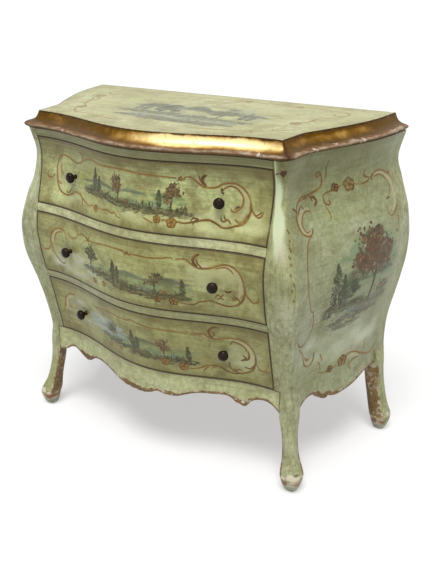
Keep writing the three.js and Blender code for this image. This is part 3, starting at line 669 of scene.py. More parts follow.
def resampled(line, count):
    lengths = np.concatenate([[0], np.cumsum(np.linalg.norm(np.diff(line, axis=0), axis=1))])
    at = np.linspace(0, lengths[-1], count)
    return np.column_stack([np.interp(at, lengths, line[:, k]) for k in range(line.shape[1])])


# A brush: points between two given ones, spacing, fullness, how far its marks reach, points in a run
brush = {"between": 8, "spacing": 1.1, "full": 0.68, "reach": 9, "run": 20}


def brushOn(places, strokes):
    # strokes are (width, tone, points) in millimetres; near is 10 less the distance from the paint's edge
    near, tone = np.zeros(len(places)), np.full(len(places), 0.5)
    for width, shade, points in strokes:
        line = smoothLine(points, brush["between"])
        length = np.sum(np.linalg.norm(np.diff(line, axis=0), axis=1))
        line = resampled(line, max(int(length / brush["spacing"]), 3))
        share = np.linspace(0, 1, len(line))
        half = width * brush["full"] * (0.5 + 0.5 * np.sqrt(np.clip(np.sin(math.pi * share), 0, 1)))
        for k in range(0, len(line), brush["run"]):
            part, wide = line[k:k + brush["run"] + 1], half[k:k + brush["run"] + 1]
            low, high = part.min(0) - brush["reach"], part.max(0) + brush["reach"]
            inside = np.nonzero(np.all((places > low) & (places < high), 1))[0]
            if not len(inside):
                continue
            apart = np.linalg.norm(places[inside, None] - part[None], axis=2) - wide[None]
            value = 10 - apart.min(1)
            better = value > near[inside]
            near[inside[better]] = value[better]
            tone[inside[better]] = shade
    return np.clip(near, 0, 14), tone


def lineMarks(places, strokes, cream):
    near, tone = brushOn(places, strokes)
    return {"lineNear": near, "lineTone": tone, "paleNear": brushOn(places, cream)[0]}


def flowerStrokes(x, z, size, shade=0.6, petals=5):
    # rounded petals with a darker outline and a vein, round a dark middle
    strokes = []
    for k in range(petals):
        a = 2 * math.pi * (k + 0.25) / petals
        spot = [(x + size * r * math.cos(a + turn), z + size * r * math.sin(a + turn)) for r, turn in [
            (0.35, 0), (0.75, 0.04), (0.35, -0.7), (0.85, -0.5), (1.0, 0), (0.85, 0.5), (0.35, 0.7)]]
        strokes.append((size * 0.22, shade - 0.45, spot[:2]))
        strokes.append((size * 0.16, shade + 0.15 + 0.2 * (k % 2), spot[2:]))
    strokes.append((size * 0.36, shade + 0.3, [(x - size * 0.1, z), (x + size * 0.1, z + size * 0.08)]))
    return strokes


def strokes(rows, flowers=()):
    # a row holds the width, the tone, then the two coordinates of each point by turns
    lines = [(row[0], row[1], list(zip(row[2::2], row[3::2]))) for row in rows]
    return lines + [petal for flower in flowers for petal in flowerStrokes(*flower)]


# Small painted views, made up of dabs in the order of a list; sizes in millimetres
def newView(places, seed):
    return {"places": places, "paint": np.zeros((len(places), 3)), "cover": np.zeros(len(places)),
            "chance": np.random.default_rng(seed)}


def dab(scene, x, z, wide, high, colour, strength, angle=0.0):
    reach = max(wide, high) * 1.5
    places = scene["places"]
    near = np.nonzero((np.abs(places[:, 0] - x) < reach) & (np.abs(places[:, 1] - z) < reach))[0]
    if not len(near):
        return
    dx, dz = places[near, 0] - x, places[near, 1] - z
    c, s = math.cos(angle), math.sin(angle)
    q = ((dx * c + dz * s) / wide) ** 2 + ((dz * c - dx * s) / high) ** 2
    a = strength * np.exp(-1.3 * q * q)
    scene["paint"][near] = scene["paint"][near] * (1 - a[:, None]) + a[:, None] * np.array(colour)
    scene["cover"][near] = scene["cover"][near] * (1 - a) + a


def touches(scene, count, x, z, wide, high, size, colours, strength, flat=1.0):
    # loose dabs scattered round one place
    chance = scene["chance"]
    for _ in range(count):
        a, r = chance.uniform(0, 2 * math.pi), math.sqrt(chance.uniform(0, 1))
        tone = colours[chance.integers(len(colours))]
        w = size * chance.uniform(0.6, 1.4)
        dab(scene, x + wide * r * math.cos(a), z + high * r * math.sin(a), w,
            w * flat * chance.uniform(0.6, 1.0), np.array(tone) * chance.uniform(0.8, 1.2),
            strength * chance.uniform(0.6, 1.0), chance.uniform(-0.6, 0.6))


def viewStroke(scene, x0, z0, x1, z1, wide, colour, strength):
    count = max(int(math.hypot(x1 - x0, z1 - z0) / max(wide * 0.7, 0.8)), 2)
    for share in np.linspace(0, 1, count):
        dab(scene, mix(x0, x1, share), mix(z0, z1, share), wide, wide, colour, strength)


greens = [(0.02, 0.028, 0.006), (0.042, 0.05, 0.01), (0.085, 0.09, 0.022), (0.035, 0.026, 0.008)]
russets = [(0.15, 0.05, 0.02), (0.24, 0.1, 0.035), (0.09, 0.032, 0.015)]
slates = [(0.115, 0.125, 0.07), (0.19, 0.2, 0.12), (0.066, 0.072, 0.045)]
barkBrown = (0.06, 0.03, 0.014)
leafLight = [(0.26, 0.24, 0.08), (0.32, 0.28, 0.12)]
waterTones = [(0.36, 0.4, 0.32), (0.12, 0.15, 0.13)]


def bank(scene, x0, x1, z, slope, thick, colours, strength):
    # a strip of ground in long level dabs, with grass along its top
    chance = scene["chance"]
    for x in np.arange(x0, x1, 3.0):
        share = (x - x0) / (x1 - x0)
        body = math.sin(math.pi * share) ** 0.6
        level = z + slope * (share - 0.5)
        for k in range(5):
            tone = leafLight[chance.integers(2)] if k == 4 else colours[chance.integers(len(colours))]
            dab(scene, x + chance.uniform(-5, 5), level + chance.normal(0, thick * 0.55),
                chance.uniform(3, 10), chance.uniform(1.0, 1.9), tone,
                strength * body * chance.uniform(0.3, 0.9), chance.uniform(-0.35, 0.35))
        if chance.uniform() < 0.6:
            high = thick * chance.uniform(0.5, 1.6) * body
            viewStroke(scene, x, level, x + chance.uniform(-2, 2), level + high, 1.1, colours[0],
                       strength * 0.7)


def leaves(scene, count, x, z, wide, high, size, colours):
    # dabs that thin out from the middle
    chance = scene["chance"]
    for _ in range(count):
        w = size * chance.uniform(0.7, 1.5)
        dab(scene, x + wide * chance.normal(0, 0.75), z + high * chance.normal(0, 0.75), w,
            w * chance.uniform(0.6, 1.0), colours[chance.integers(len(colours))],
            chance.uniform(0.4, 0.8), chance.uniform(-0.8, 0.8))


def roundTree(scene, x, z, tall, crown, colours):
    chance = scene["chance"]
    viewStroke(scene, x, z, x + tall * 0.05, z + tall * 0.6, max(tall * 0.03, 1.2), barkBrown, 0.85)
    for low, over, high in [(0.4, -0.4, 0.66), (0.46, 0.45, 0.7)]:       # two boughs
        viewStroke(scene, x + tall * 0.03, z + tall * low, x + crown * over, z + tall * high, 1.1,
                   barkBrown, 0.7)
    for _ in range(max(int(crown / 1.8), 5)):        # a crown of several loose clumps
        cx, cz = x + crown * chance.normal(0, 0.5), z + tall * (0.7 + chance.normal(0, 0.14))
        leaves(scene, int(crown * 2.2), cx, cz, crown * 0.34, tall * 0.1, max(crown * 0.075, 1.5), colours)
        leaves(scene, int(crown * 0.3), cx - 2, cz + 2, crown * 0.3, tall * 0.08, 1.5, leafLight)


def slimTree(scene, x, z, tall, colours):
    viewStroke(scene, x, z, x, z + tall * 0.3, 1.3, barkBrown, 0.8)
    for share in np.linspace(0.1, 1, int(tall / 1.4)):
        wide = tall * 0.15 * math.sin(math.pi * min(share * 0.9 + 0.1, 1)) + 0.8
        touches(scene, 4, x, z + tall * share, wide, 2.2, 1.9, colours, 0.65)


def bush(scene, x, z, size, colours):
    leaves(scene, int(size * 5), x, z + size * 0.4, size * 0.8, size * 0.45, max(size * 0.12, 1.6),
           colours)
    leaves(scene, int(size * 0.8), x - size * 0.2, z + size * 0.6, size * 0.6, size * 0.3, 1.5,
           leafLight)


def reeds(scene, x0, x1, z, tall, colours):
    chance = scene["chance"]
    for x in np.arange(x0, x1, 2.4):
        lean, high = chance.uniform(-3, 3), tall * chance.uniform(0.5, 1.0)
        viewStroke(scene, x, z, x + lean, z + high, 1.0, colours[chance.integers(len(colours))], 0.6)


def hills(scene, x0, x1, z, high, strength=0.14):
    for x in np.arange(x0, x1, 6.0):
        crest = high * (0.5 + 0.5 * math.sin((x - x0) * 0.045)) * math.sin(math.pi * (x - x0) / (x1 - x0))
        tone = slates[scene["chance"].integers(3)]
        dab(scene, x, z + crest * 0.5, 12, max(crest * 0.6, 3), tone, strength)


def water(scene, x0, x1, z, deep):
    chance = scene["chance"]
    for _ in range(int((x1 - x0) * deep / 45)):
        x = chance.uniform(x0, x1)
        dab(scene, x, z - chance.uniform(0, deep), chance.uniform(6, 18), 0.9,
            waterTones[chance.integers(2)], 0.4)


def viewMarks(scene):
    cover = scene["cover"]
    colour = scene["paint"] / np.maximum(cover, 0.01)[:, None]
    return {"viewCover": cover, "viewColour": np.where(cover[:, None] > 0.01, colour, (0.2, 0.22, 0.12))}


def paintedView(places, seed, rows):
    scene = newView(places, seed)
    for tool, *given in rows:
        tool(scene, *given)
    return viewMarks(scene)


# Drawer fronts
drawer = {
    "gap": 0.001, "thick": 0.022, "names": ["lower", "middle", "upper"], "columns": 8,
    "shadeDeep": 0.045, "topShade": {"upper": 1.0, "middle": 0.5, "lower": 0.8},
    "leastShade": {"upper": 0, "middle": 0.1, "lower": 0.22},
    "seeds": {"upper": 11, "middle": 23, "lower": 37},
}
# Painted lines of the drawers: level x and height z in millimetres, then the flowers
drawerLines = {
    "upper": strokes([
        (2.2, 0.4, -162, 722, -148, 728, -138, 732, -125, 733, -110, 731, -95, 727, -60, 729, -20, 730,
         20, 727, 60, 726, 110, 724),
        (2.0, 0.6, 113, 718, 119, 727, 124, 720, 128, 727), (1.8, 0.7, 114, 726, 120, 719, 127, 722),
        (2.6, 0.45, 128, 727, 140, 727, 150, 720, 160, 711, 170, 707, 185, 707, 195, 710, 205, 716, 220, 719,
         235, 718, 248, 711, 258, 701, 265, 690, 268, 680),
        (3.8, 0.55, 268, 682, 269, 666, 264, 650, 256, 640, 246, 635, 238, 633),
        (4.6, 0.7, 171, 733, 166, 729, 163, 723, 165, 716, 170, 712),
        (2.0, 0.6, 157, 731, 159, 722, 164, 714, 172, 709),
        (2.2, 0.5, 205, 699, 208, 706, 215, 711, 223, 713, 233, 710, 243, 702, 250, 692, 251, 682, 248, 672,
         242, 666, 235, 661, 228, 663, 226, 667),
        (3.4, 0.85, 203, 706, 204, 700, 207, 696), (1.8, 0.75, 236, 668, 241, 672, 245, 671),
        (2.2, 0.6, 266, 660, 256, 645, 246, 641, 238, 646),
        (2.4, 0.5, 268, 680, 273, 668, 280, 660, 288, 656, 295, 660, 298, 668),
        (1.8, 0.6, 283, 660, 290, 663, 294, 668),
        (2.8, 0.6, 240, 633, 225, 628, 212, 628, 200, 634, 185, 640, 170, 639, 158, 636, 146, 633, 130, 630,
         115, 632),
        (2.0, 0.65, 150, 629, 153, 636, 160, 640, 150, 642, 145, 637),
        (1.8, 0.6, 207, 648, 209, 642, 215, 640, 222, 644, 230, 637),
        (1.8, 0.6, 213, 653, 216, 646, 224, 643), (1.8, 0.4, 38, 633, 50, 628, 60, 624),
        (1.6, 0.5, 80, 630, 86, 633, 92, 631),
        (3.0, 0.4, -262, 700, -264, 690, -263, 680, -261, 668, -258, 655, -252, 645, -243, 638, -230, 634,
         -215, 634, -203, 639, -195, 641),
        (1.8, 0.5, -205, 652, -208, 645, -215, 640, -222, 641),
        (1.8, 0.4, -248, 700, -250, 690, -247, 682, -240, 676),
        (2.2, 0.4, -262, 700, -258, 712, -250, 720, -240, 722),
        (2.2, 0.45, -250, 712, -242, 722, -228, 722, -215, 719, -205, 716, -190, 712, -178, 714, -168, 718,
         -160, 722),
        (2.8, 0.6, -170, 741, -163, 738, -160, 730, -162, 722), (1.8, 0.5, -255, 660, -250, 655, -244, 656),
        (2.0, 0.45, -293, 678, -295, 670, -290, 664, -283, 664, -275, 667, -272, 674),
        (2.2, 0.5, -195, 645, -180, 647, -168, 644, -160, 638, -158, 628, -158, 622, -163, 618),
        (2.0, 0.5, -160, 640, -145, 632, -130, 628, -118, 632),
        (1.8, 0.45, -95, 630, -80, 630, -65, 633, -50, 628, -43, 632, -35, 625, -25, 622)
    ], [(103, 629, 11, 0.35), (70, 633, 8, 0.4), (-105, 627, 8, 0.35)]),
    "middle": strokes([
        (2.2, 0.5, -128, 548, -105, 548, -80, 550, -60, 551, -20, 550, -8, 545, 0, 545, 10, 547, 50, 546,
         80, 549, 105, 553, 110, 550),
        (1.8, 0.6, -12, 541, -4, 549, 4, 541),
        (2.6, 0.5, 118, 551, 130, 553, 138, 554, 148, 548, 158, 541, 170, 537, 185, 538, 200, 542, 215, 549,
         230, 552, 243, 550, 255, 543, 264, 533, 269, 520, 272, 508),
        (3.4, 0.6, 272, 510, 272, 495, 268, 480, 260, 467, 250, 459, 238, 454),
        (2.8, 0.6, 240, 454, 225, 453, 212, 456, 200, 460, 190, 462),
        (4.4, 0.7, 168, 567, 160, 563, 156, 555, 158, 547, 165, 541),
        (2.0, 0.65, 163, 557, 166, 548, 175, 539),
        (1.8, 0.45, 207, 540, 218, 544, 230, 546, 240, 542, 247, 535),
        (2.8, 0.9, 226, 491, 232, 488, 240, 492),
        (2.4, 0.6, 241, 478, 246, 471, 252, 478, 258, 470, 262, 466),
        (2.0, 0.65, 244, 484, 249, 476, 256, 473),
        (2.4, 0.5, 273, 500, 276, 488, 282, 480, 290, 474, 298, 476, 303, 482, 303, 488),
        (1.8, 0.6, 118, 448, 140, 446, 155, 448, 165, 455, 178, 458, 190, 461),
        (1.8, 0.6, 160, 450, 168, 456, 176, 457, 182, 462),
        (1.8, 0.6, 203, 470, 208, 478, 216, 475, 222, 481), (1.8, 0.6, 208, 468, 215, 471, 221, 468),
        (2.8, 0.4, -275, 500, -276, 515, -272, 528, -265, 538, -255, 547, -242, 551, -228, 550, -218, 544,
         -215, 535, -216, 528),
        (1.8, 0.4, -262, 515, -257, 530, -250, 538, -240, 543, -230, 543),
        (2.4, 0.45, -275, 500, -275, 490, -270, 480, -262, 470, -255, 462, -245, 457, -238, 460),
        (2.0, 0.45, -312, 495, -308, 488, -300, 485, -290, 487, -284, 493, -280, 502),
        (2.4, 0.45, -186, 568, -178, 567, -172, 560, -172, 550, -178, 542, -188, 538, -197, 538, -205, 543,
         -212, 546),
        (2.0, 0.5, -168, 552, -158, 556, -148, 556, -140, 552, -132, 547),
        (1.8, 0.65, -138, 556, -134, 549, -128, 545), (1.8, 0.65, -138, 545, -131, 550, -127, 556)
    ], [(108, 450, 10), (70, 450, 8), (-120, 450, 7, 0.45), (-85, 452, 7, 0.45)]),
    "lower": strokes([
        (2.0, 0.4, -150, 362, -120, 368, -90, 372, -35, 370, -15, 375, 0, 371, 10, 370, 30, 366, 60, 366,
         90, 367, 120, 365, 128, 370, 125, 373),
        (2.6, 0.5, 135, 363, 150, 367, 162, 368, 172, 362, 185, 358, 200, 359, 215, 364, 230, 365, 245, 364,
         258, 359, 268, 350, 276, 338, 279, 325),
        (3.2, 0.55, 279, 327, 278, 310, 275, 300, 268, 285, 258, 276, 245, 270),
        (2.6, 0.6, 247, 270, 230, 266, 218, 265, 205, 270, 195, 277, 183, 281, 170, 280, 158, 277, 145, 270,
         130, 265, 118, 264),
        (4.0, 0.65, 197, 389, 190, 390, 182, 386, 176, 378, 177, 368, 182, 362),
        (2.0, 0.6, 182, 377, 187, 372, 186, 364),
        (2.4, 0.6, 221, 347, 226, 356, 238, 354, 248, 350, 256, 343, 258, 335),
        (3.2, 0.6, 262, 335, 263, 322, 258, 312, 250, 310, 243, 306),
        (2.6, 0.7, 249, 322, 254, 315, 250, 308), (2.4, 0.6, 250, 290, 252, 288, 262, 287, 272, 297),
        (2.2, 0.65, 214, 295, 213, 285, 217, 277, 222, 272, 232, 269),
        (1.8, 0.6, 222, 280, 228, 274, 235, 280, 243, 274),
        (2.4, 0.5, 278, 303, 285, 292, 292, 288, 298, 290, 304, 297, 309, 305, 309, 313),
        (1.8, 0.55, 298, 290, 306, 289, 312, 294), (1.8, 0.6, 152, 262, 158, 270, 165, 275),
        (1.8, 0.6, 170, 271, 176, 276, 182, 274),
        (2.6, 0.4, -238, 366, -250, 364, -265, 358, -278, 345, -284, 330, -290, 315, -296, 303, -302, 294),
        (2.2, 0.4, -290, 290, -280, 278, -268, 268, -255, 264, -245, 266, -240, 272),
        (1.8, 0.4, -270, 340, -268, 325, -262, 315)
    ], [(106, 268, 11, 0.42), (62, 275, 10, 0.42), (-70, 275, 7, 0.4), (-110, 270, 7, 0.4)]),
}
# Cream between the double lines of the scrolls
drawerCream = {
    "upper": strokes([
        (7, 0.5, 212, 707, 224, 714, 240, 711, 252, 700, 258, 688, 259, 672, 253, 655),
        (6, 0.5, -257, 702, -256, 690, -255, 672, -250, 655, -238, 643),
        (5, 0.5, 150, 724, 162, 714, 178, 711)]),
    "middle": strokes([
        (6, 0.5, 214, 541, 232, 546, 248, 541, 259, 530, 263, 512, 262, 495, 254, 475),
        (6, 0.5, -268, 512, -264, 528, -254, 540, -240, 547), (5, 0.5, 150, 549, 165, 541, 182, 542)]),
    "lower": strokes([
        (6, 0.5, 222, 359, 240, 360, 256, 352, 267, 340, 270, 322, 268, 300, 256, 284),
        (6, 0.5, -250, 358, -268, 348, -277, 332, -280, 315), (5, 0.5, 160, 363, 176, 362, 192, 362)]),
}

# Washes on the drawers: x, z, width, height, colour and strength. The pale patches on the left of the middle
# and lower drawers are a painted reflection on the varnish, the dark band along the top of the upper drawer
# is a painted shadow under the moulding, and the others lighten or darken patches of the paint
lightAndShadeWash = {
    "upper": [(235, 640, 90, 30, (0.58, 0.6, 0.3), 0.1), (20, 632, 230, 14, (0.56, 0.57, 0.28), 0.08),
              (-230, 650, 60, 40, (0.56, 0.6, 0.3), 0.05), (60, 742, 260, 12, (0.16, 0.13, 0.04), 0.1)],
    "middle": [(-190, 470, 90, 34, (0.6, 0.63, 0.48), 0.09), (200, 520, 70, 26, (0.5, 0.5, 0.24), 0.08),
               (60, 468, 150, 22, (0.2, 0.18, 0.06), 0.12)],
    "lower": [(-200, 322, 90, 44, (0.6, 0.64, 0.48), 0.07), (250, 320, 50, 40, (0.46, 0.48, 0.26), 0.08),
              (50, 300, 160, 44, (0.22, 0.2, 0.08), 0.1)],
}
# The landscapes, each drawer's own: a tool and what it is given, in the order of painting
greenWash = [(0.2, 0.27, 0.11), (0.26, 0.33, 0.15), (0.16, 0.2, 0.08)]
drawerViews = {
    "upper": [
        (touches, 110, -10, 672, 145, 20, 10, greenWash, 0.25, 0.5), (hills, -150, 40, 682, 18),
        (slimTree, -112, 662, 52, greens), (slimTree, -97, 661, 38, greens), (bush, -128, 662, 13, greens),
        (bush, -74, 660, 11, greens + russets), (roundTree, -34, 657, 56, 19, greens + russets),
        (bush, -10, 656, 11, russets), (slimTree, 72, 652, 42, greens),
        (roundTree, 98, 650, 62, 21, russets + greens[:2]), (bush, 124, 652, 11, greens),
        (water, -10, 80, 662, 12), (bank, -155, 30, 658, -8, 8, greens, 0.72),
        (bank, -30, 152, 648, -2, 9, greens + [russets[2]], 0.7), (reeds, 16, 58, 652, 17, greens)],
    "middle": [
        (touches, 110, 0, 484, 145, 20, 10, greenWash, 0.25, 0.5), (hills, -60, 150, 492, 22),
        (roundTree, -128, 478, 54, 19, greens), (bush, -98, 476, 14, greens + russets),
        (bush, -78, 474, 10, russets), (slimTree, -50, 470, 50, greens), (slimTree, -36, 470, 38, greens),
        (bush, -20, 466, 13, greens), (roundTree, 64, 462, 50, 17, greens + [russets[1]]),
        (bush, 86, 461, 11, russets), (slimTree, 130, 462, 42, greens + [russets[0]]),
        (bush, 114, 461, 10, greens), (water, -10, 60, 474, 10), (bank, -160, 0, 474, -10, 9, greens, 0.75),
        (bank, -60, 90, 461, 0, 10, greens + [russets[2]], 0.78), (bank, 40, 152, 459, 0, 7, greens, 0.6)],
    "lower": [
        (touches, 90, -110, 318, 70, 26, 11, [(0.36, 0.42, 0.36), (0.3, 0.36, 0.3)], 0.25, 0.6),
        (touches, 110, 20, 302, 130, 18, 10, greenWash, 0.22, 0.5), (hills, -150, 60, 318, 18),
        (roundTree, -92, 296, 50, 17, greens), (bush, -68, 295, 12, greens),
        (slimTree, -22, 288, 54, greens), (slimTree, -8, 288, 40, greens),
        (bush, 10, 286, 13, russets + [greens[1]]),
        (roundTree, 62, 286, 46, 16, russets + [greens[0]]), (slimTree, 122, 286, 38, greens),
        (bush, 104, 285, 10, greens), (water, 20, 110, 296, 9), (bank, -140, 20, 291, -12, 8, greens, 0.74),
        (bank, -40, 145, 281, 2, 8, greens + [russets[2]], 0.68), (reeds, 74, 112, 284, 15, greens)],
}


def edgeNear(distance):
    # 40 at an edge, falling to nothing 40 mm in
    return np.clip(40 - distance * 1000, 0, 40)


def fading(distance, deep, strength=1.0):
    # full at the start, gone at some distance from it
    return np.clip(1 - distance / deep, 0, 1) * strength


def frontFace(half, z0, z1, size):
    # grid of stations and heights on the front of the case, with the distance from its upper and lower edges
    x, z = np.meshgrid(closeSteps(-half, half, size=size), closeSteps(z0, z1, size=size), indexing="ij")
    return x, z, np.minimum(z - z0, z1 - z)


def makeDrawerFront(name, bottom):
    half = case["openingHalf"] - drawer["gap"]
    z1 = bottom + case["opening"] - drawer["gap"]
    x, z, edge = frontFace(half, bottom + drawer["gap"], z1, fineStep)
    edge = np.minimum(half - np.abs(x), edge)
    outer = np.stack([x, frontAt(x, z) + roundedOff(edge), z], -1)
    xIn, zIn = coarseRows(x, drawer["columns"]), coarseRows(z, drawer["columns"])
    inner = np.stack([xIn, frontAt(xIn, zIn) + drawer["thick"], zIn], -1)
    places = np.column_stack([x.ravel(), z.ravel()]) * 1000
    # painted shade: darker along the top of each drawer under the rail or moulding above it, and evenly
    # darker over the middle and lower drawers
    shade = fading(z1 - z, drawer["shadeDeep"]) ** 1.2 * drawer["topShade"][name]
    washes = [(touches, 80, *spot, 22, [colour], strength * 0.5, 0.6)
              for *spot, colour, strength in lightAndShadeWash[name]]
    makeBoard(name + "_painted_front", outer, inner, name + "_drawer", [name + "_drawer_front"],
              drawerPaint, {
                  **lineMarks(places, drawerLines[name], drawerCream[name]), "edgeNear": edgeNear(edge),
                  "shadeNear": np.maximum(shade, drawer["leastShade"][name]),
                  **paintedView(places, drawer["seeds"][name], washes + drawerViews[name])})


for i, name in enumerate(drawer["names"]):
    makeDrawerFront(name, case["openingBottom"] + i * pitch)
print("drawer fronts are painted")


# Rails of the case
def makeRail(name, node, z0, z1, shade=0.0):
    x, z, edge = frontFace(case["openingHalf"] - seatGap, z0, z1, step)
    outer = np.stack([x, frontAt(x, z) + roundedOff(edge), z], -1)
    xIn, zIn = coarseRows(x, 3), coarseRows(z, 3)
    inner = np.stack([xIn, np.full_like(xIn, case["rearOfPost"]), zIn], -1)
    makeBoard(name, outer, inner, "case", [node], casePaint,
              {"edgeNear": edgeNear(edge * 2.5), "shadeNear": np.full(edge.size, shade)})


firstTop = case["openingBottom"] + case["opening"]
# painted shade: the lower rail darker, and the frieze darker still under the moulding
makeRail("painted_rail_lower", "divider_rail_lower", firstTop, firstTop + case["rail"], 0.6)
makeRail("painted_rail_upper", "divider_rail_upper", firstTop + pitch, firstTop + pitch + case["rail"])
makeRail("painted_frieze", "frieze_rail", firstTop + 2 * pitch, case["top"], 0.95)

# Apron and side boards, with their lower edges cut freehand
lowerEdges = {
    "drop": 0.072, "thickFront": 0.022, "thickSide": 0.020, "sideFront": -0.3303, "sideBack": -0.0517,
    "lobeGrown": (1.25, 1.5), "giltWide": 0.0118, "giltFade": 0.008, "bead": (0.0009, 0.0045, 0.0022),
    "roundShare": 0.6, "edgeShare": 1.5, "apronColumns": 5, "apronShade": (0.02, 0.15),
    "sideStep": 0.0018, "sideColumns": 24, "sideTall": 0.6, "sideShade": (0.1, 0.55),
    "apronShares": [(-1, 0.95), (-0.916, 0.85), (-0.88, 0.74), (-0.835, 0.69), (-0.8, 0.75),
                    (-0.763, 0.85), (-0.725, 0.94), (-0.683, 0.96), (-0.644, 0.93), (-0.605, 0.79),
                    (-0.56, 0.71), (-0.5, 0.69), (-0.437, 0.72), (-0.383, 0.78), (-0.311, 0.89),
                    (-0.25, 0.96), (-0.19, 0.99), (-0.09, 1), (-0.027, 1), (0.036, 0.94), (0.093, 0.82),
                    (0.141, 0.85), (0.186, 0.88), (0.251, 0.86), (0.3, 0.78), (0.36, 0.68), (0.42, 0.62),
                    (0.5, 0.6), (0.6, 0.58), (0.638, 0.65), (0.668, 0.75), (0.704, 0.82), (0.743, 0.86),
                    (0.763, 0.75), (0.784, 0.64), (0.808, 0.57), (0.85, 0.51), (0.89, 0.5), (0.922, 0.53),
                    (0.955, 0.6), (1, 0.77)],
    "sideShares": [(0, 0.72), (0.06, 0.61), (0.13, 0.555), (0.18, 0.555), (0.227, 0.58), (0.255, 0.69),
                   (0.29, 0.85), (0.324, 0.875), (0.35, 0.83), (0.4, 0.92), (0.46, 0.96), (0.53, 0.94),
                   (0.61, 0.9), (0.69, 0.82), (0.76, 0.72), (0.83, 0.64), (0.91, 0.6), (1, 0.62)],
    # carved lobes along the edges: place, distance up from the edge, length, height, rise, all in metres
    "apronLobes": [(-0.228, 0.006, 0.013, 0.0065, 0.0034), (-0.212, 0.005, 0.009, 0.005, 0.0026),
                   (-0.245, 0.008, 0.009, 0.005, 0.0022), (-0.064, 0.006, 0.016, 0.006, 0.0036),
                   (-0.042, 0.005, 0.012, 0.006, 0.0032), (-0.022, 0.005, 0.010, 0.0055, 0.003),
                   (-0.004, 0.005, 0.009, 0.005, 0.0026), (0.014, 0.005, 0.008, 0.0045, 0.002),
                   (0.052, 0.005, 0.009, 0.005, 0.0028), (0.068, 0.005, 0.009, 0.005, 0.0024),
                   (0.226, 0.005, 0.009, 0.005, 0.003), (0.241, 0.006, 0.008, 0.006, 0.0038),
                   (0.252, 0.007, 0.007, 0.005, 0.0026)],
    "sideLobes": [(-0.254, 0.006, 0.009, 0.005, 0.003), (-0.240, 0.006, 0.010, 0.006, 0.0038),
                  (-0.226, 0.006, 0.008, 0.005, 0.003), (-0.206, 0.006, 0.010, 0.004, 0.0022)],
}


def cutEdge(shares, place):
    return case["openingBottom"] - lowerEdges["drop"] * along(lowerEdges[shares], place)


def apronEdge(x):
    return cutEdge("apronShares", x / (case["apronHalf"] - seatGap))


def sideEdge(y):
    front, back = lowerEdges["sideFront"], lowerEdges["sideBack"]
    return cutEdge("sideShares", (y - front) / (back - front))


def overLobes(start, at, up, lobes, grown, shape):
    # the most of a plain band and of what each lobe gives by its own distance
    for where, lift, long, high, height in lobes:
        q = ((at - where) / (long * grown[0])) ** 2 + ((up - lift) / (high * grown[1])) ** 2
        start = np.maximum(start, shape(q, height))
    return start


def carvedRise(at, up, lobes):
    # rounded lobes with a nick between them, and a fine bead that follows the edge
    high, middle, wide = lowerEdges["bead"]
    bead = high * np.exp(-((up - middle) / wide) ** 2)
    return overLobes(bead, at, up, lobes, (1, 1),
                     lambda q, height: height * np.sqrt(np.clip(1 - q, 0, 1)))


def giltBand(at, up, lobes):
    band = np.clip((lowerEdges["giltWide"] - up) / lowerEdges["giltFade"], 0, 1)
    return overLobes(band, at, up, lobes, lowerEdges["lobeGrown"],
                     lambda q, height: np.clip(1.6 - q, 0, 1))


def makeApron():
    half, high = case["apronHalf"] - seatGap, case["openingBottom"]
    share = closeSteps(0, lowerEdges["drop"], size=fineStep) / lowerEdges["drop"]
    x, s = np.meshgrid(closeSteps(-half, half, False, fineStep), share, indexing="ij")
    low = apronEdge(x)
    z = mix(low, high, s)
    rise = carvedRise(x, z - low, lowerEdges["apronLobes"])
    fall = roundedOff(np.minimum((z - low) * lowerEdges["roundShare"], high - z))
    outer = np.stack([x, frontAt(x, z) + fall - rise, z], -1)
    xIn, zIn = coarseRows(x, lowerEdges["apronColumns"]), coarseRows(z, lowerEdges["apronColumns"])
    inner = np.stack([xIn, frontAt(xIn, zIn) + lowerEdges["thickFront"], zIn], -1)
    edge = np.minimum(high - z, np.minimum(z - low, half - np.abs(x)) * lowerEdges["edgeShare"])
    # painted shade darkens the top of the apron
    makeBoard("painted_apron", outer, inner, "case", ["front_apron"], casePaint,
              {"edgeNear": edgeNear(edge), "giltNear": giltBand(x, z - low, lowerEdges["apronLobes"]),
               "shadeNear": fading(high - z, *lowerEdges["apronShade"])})


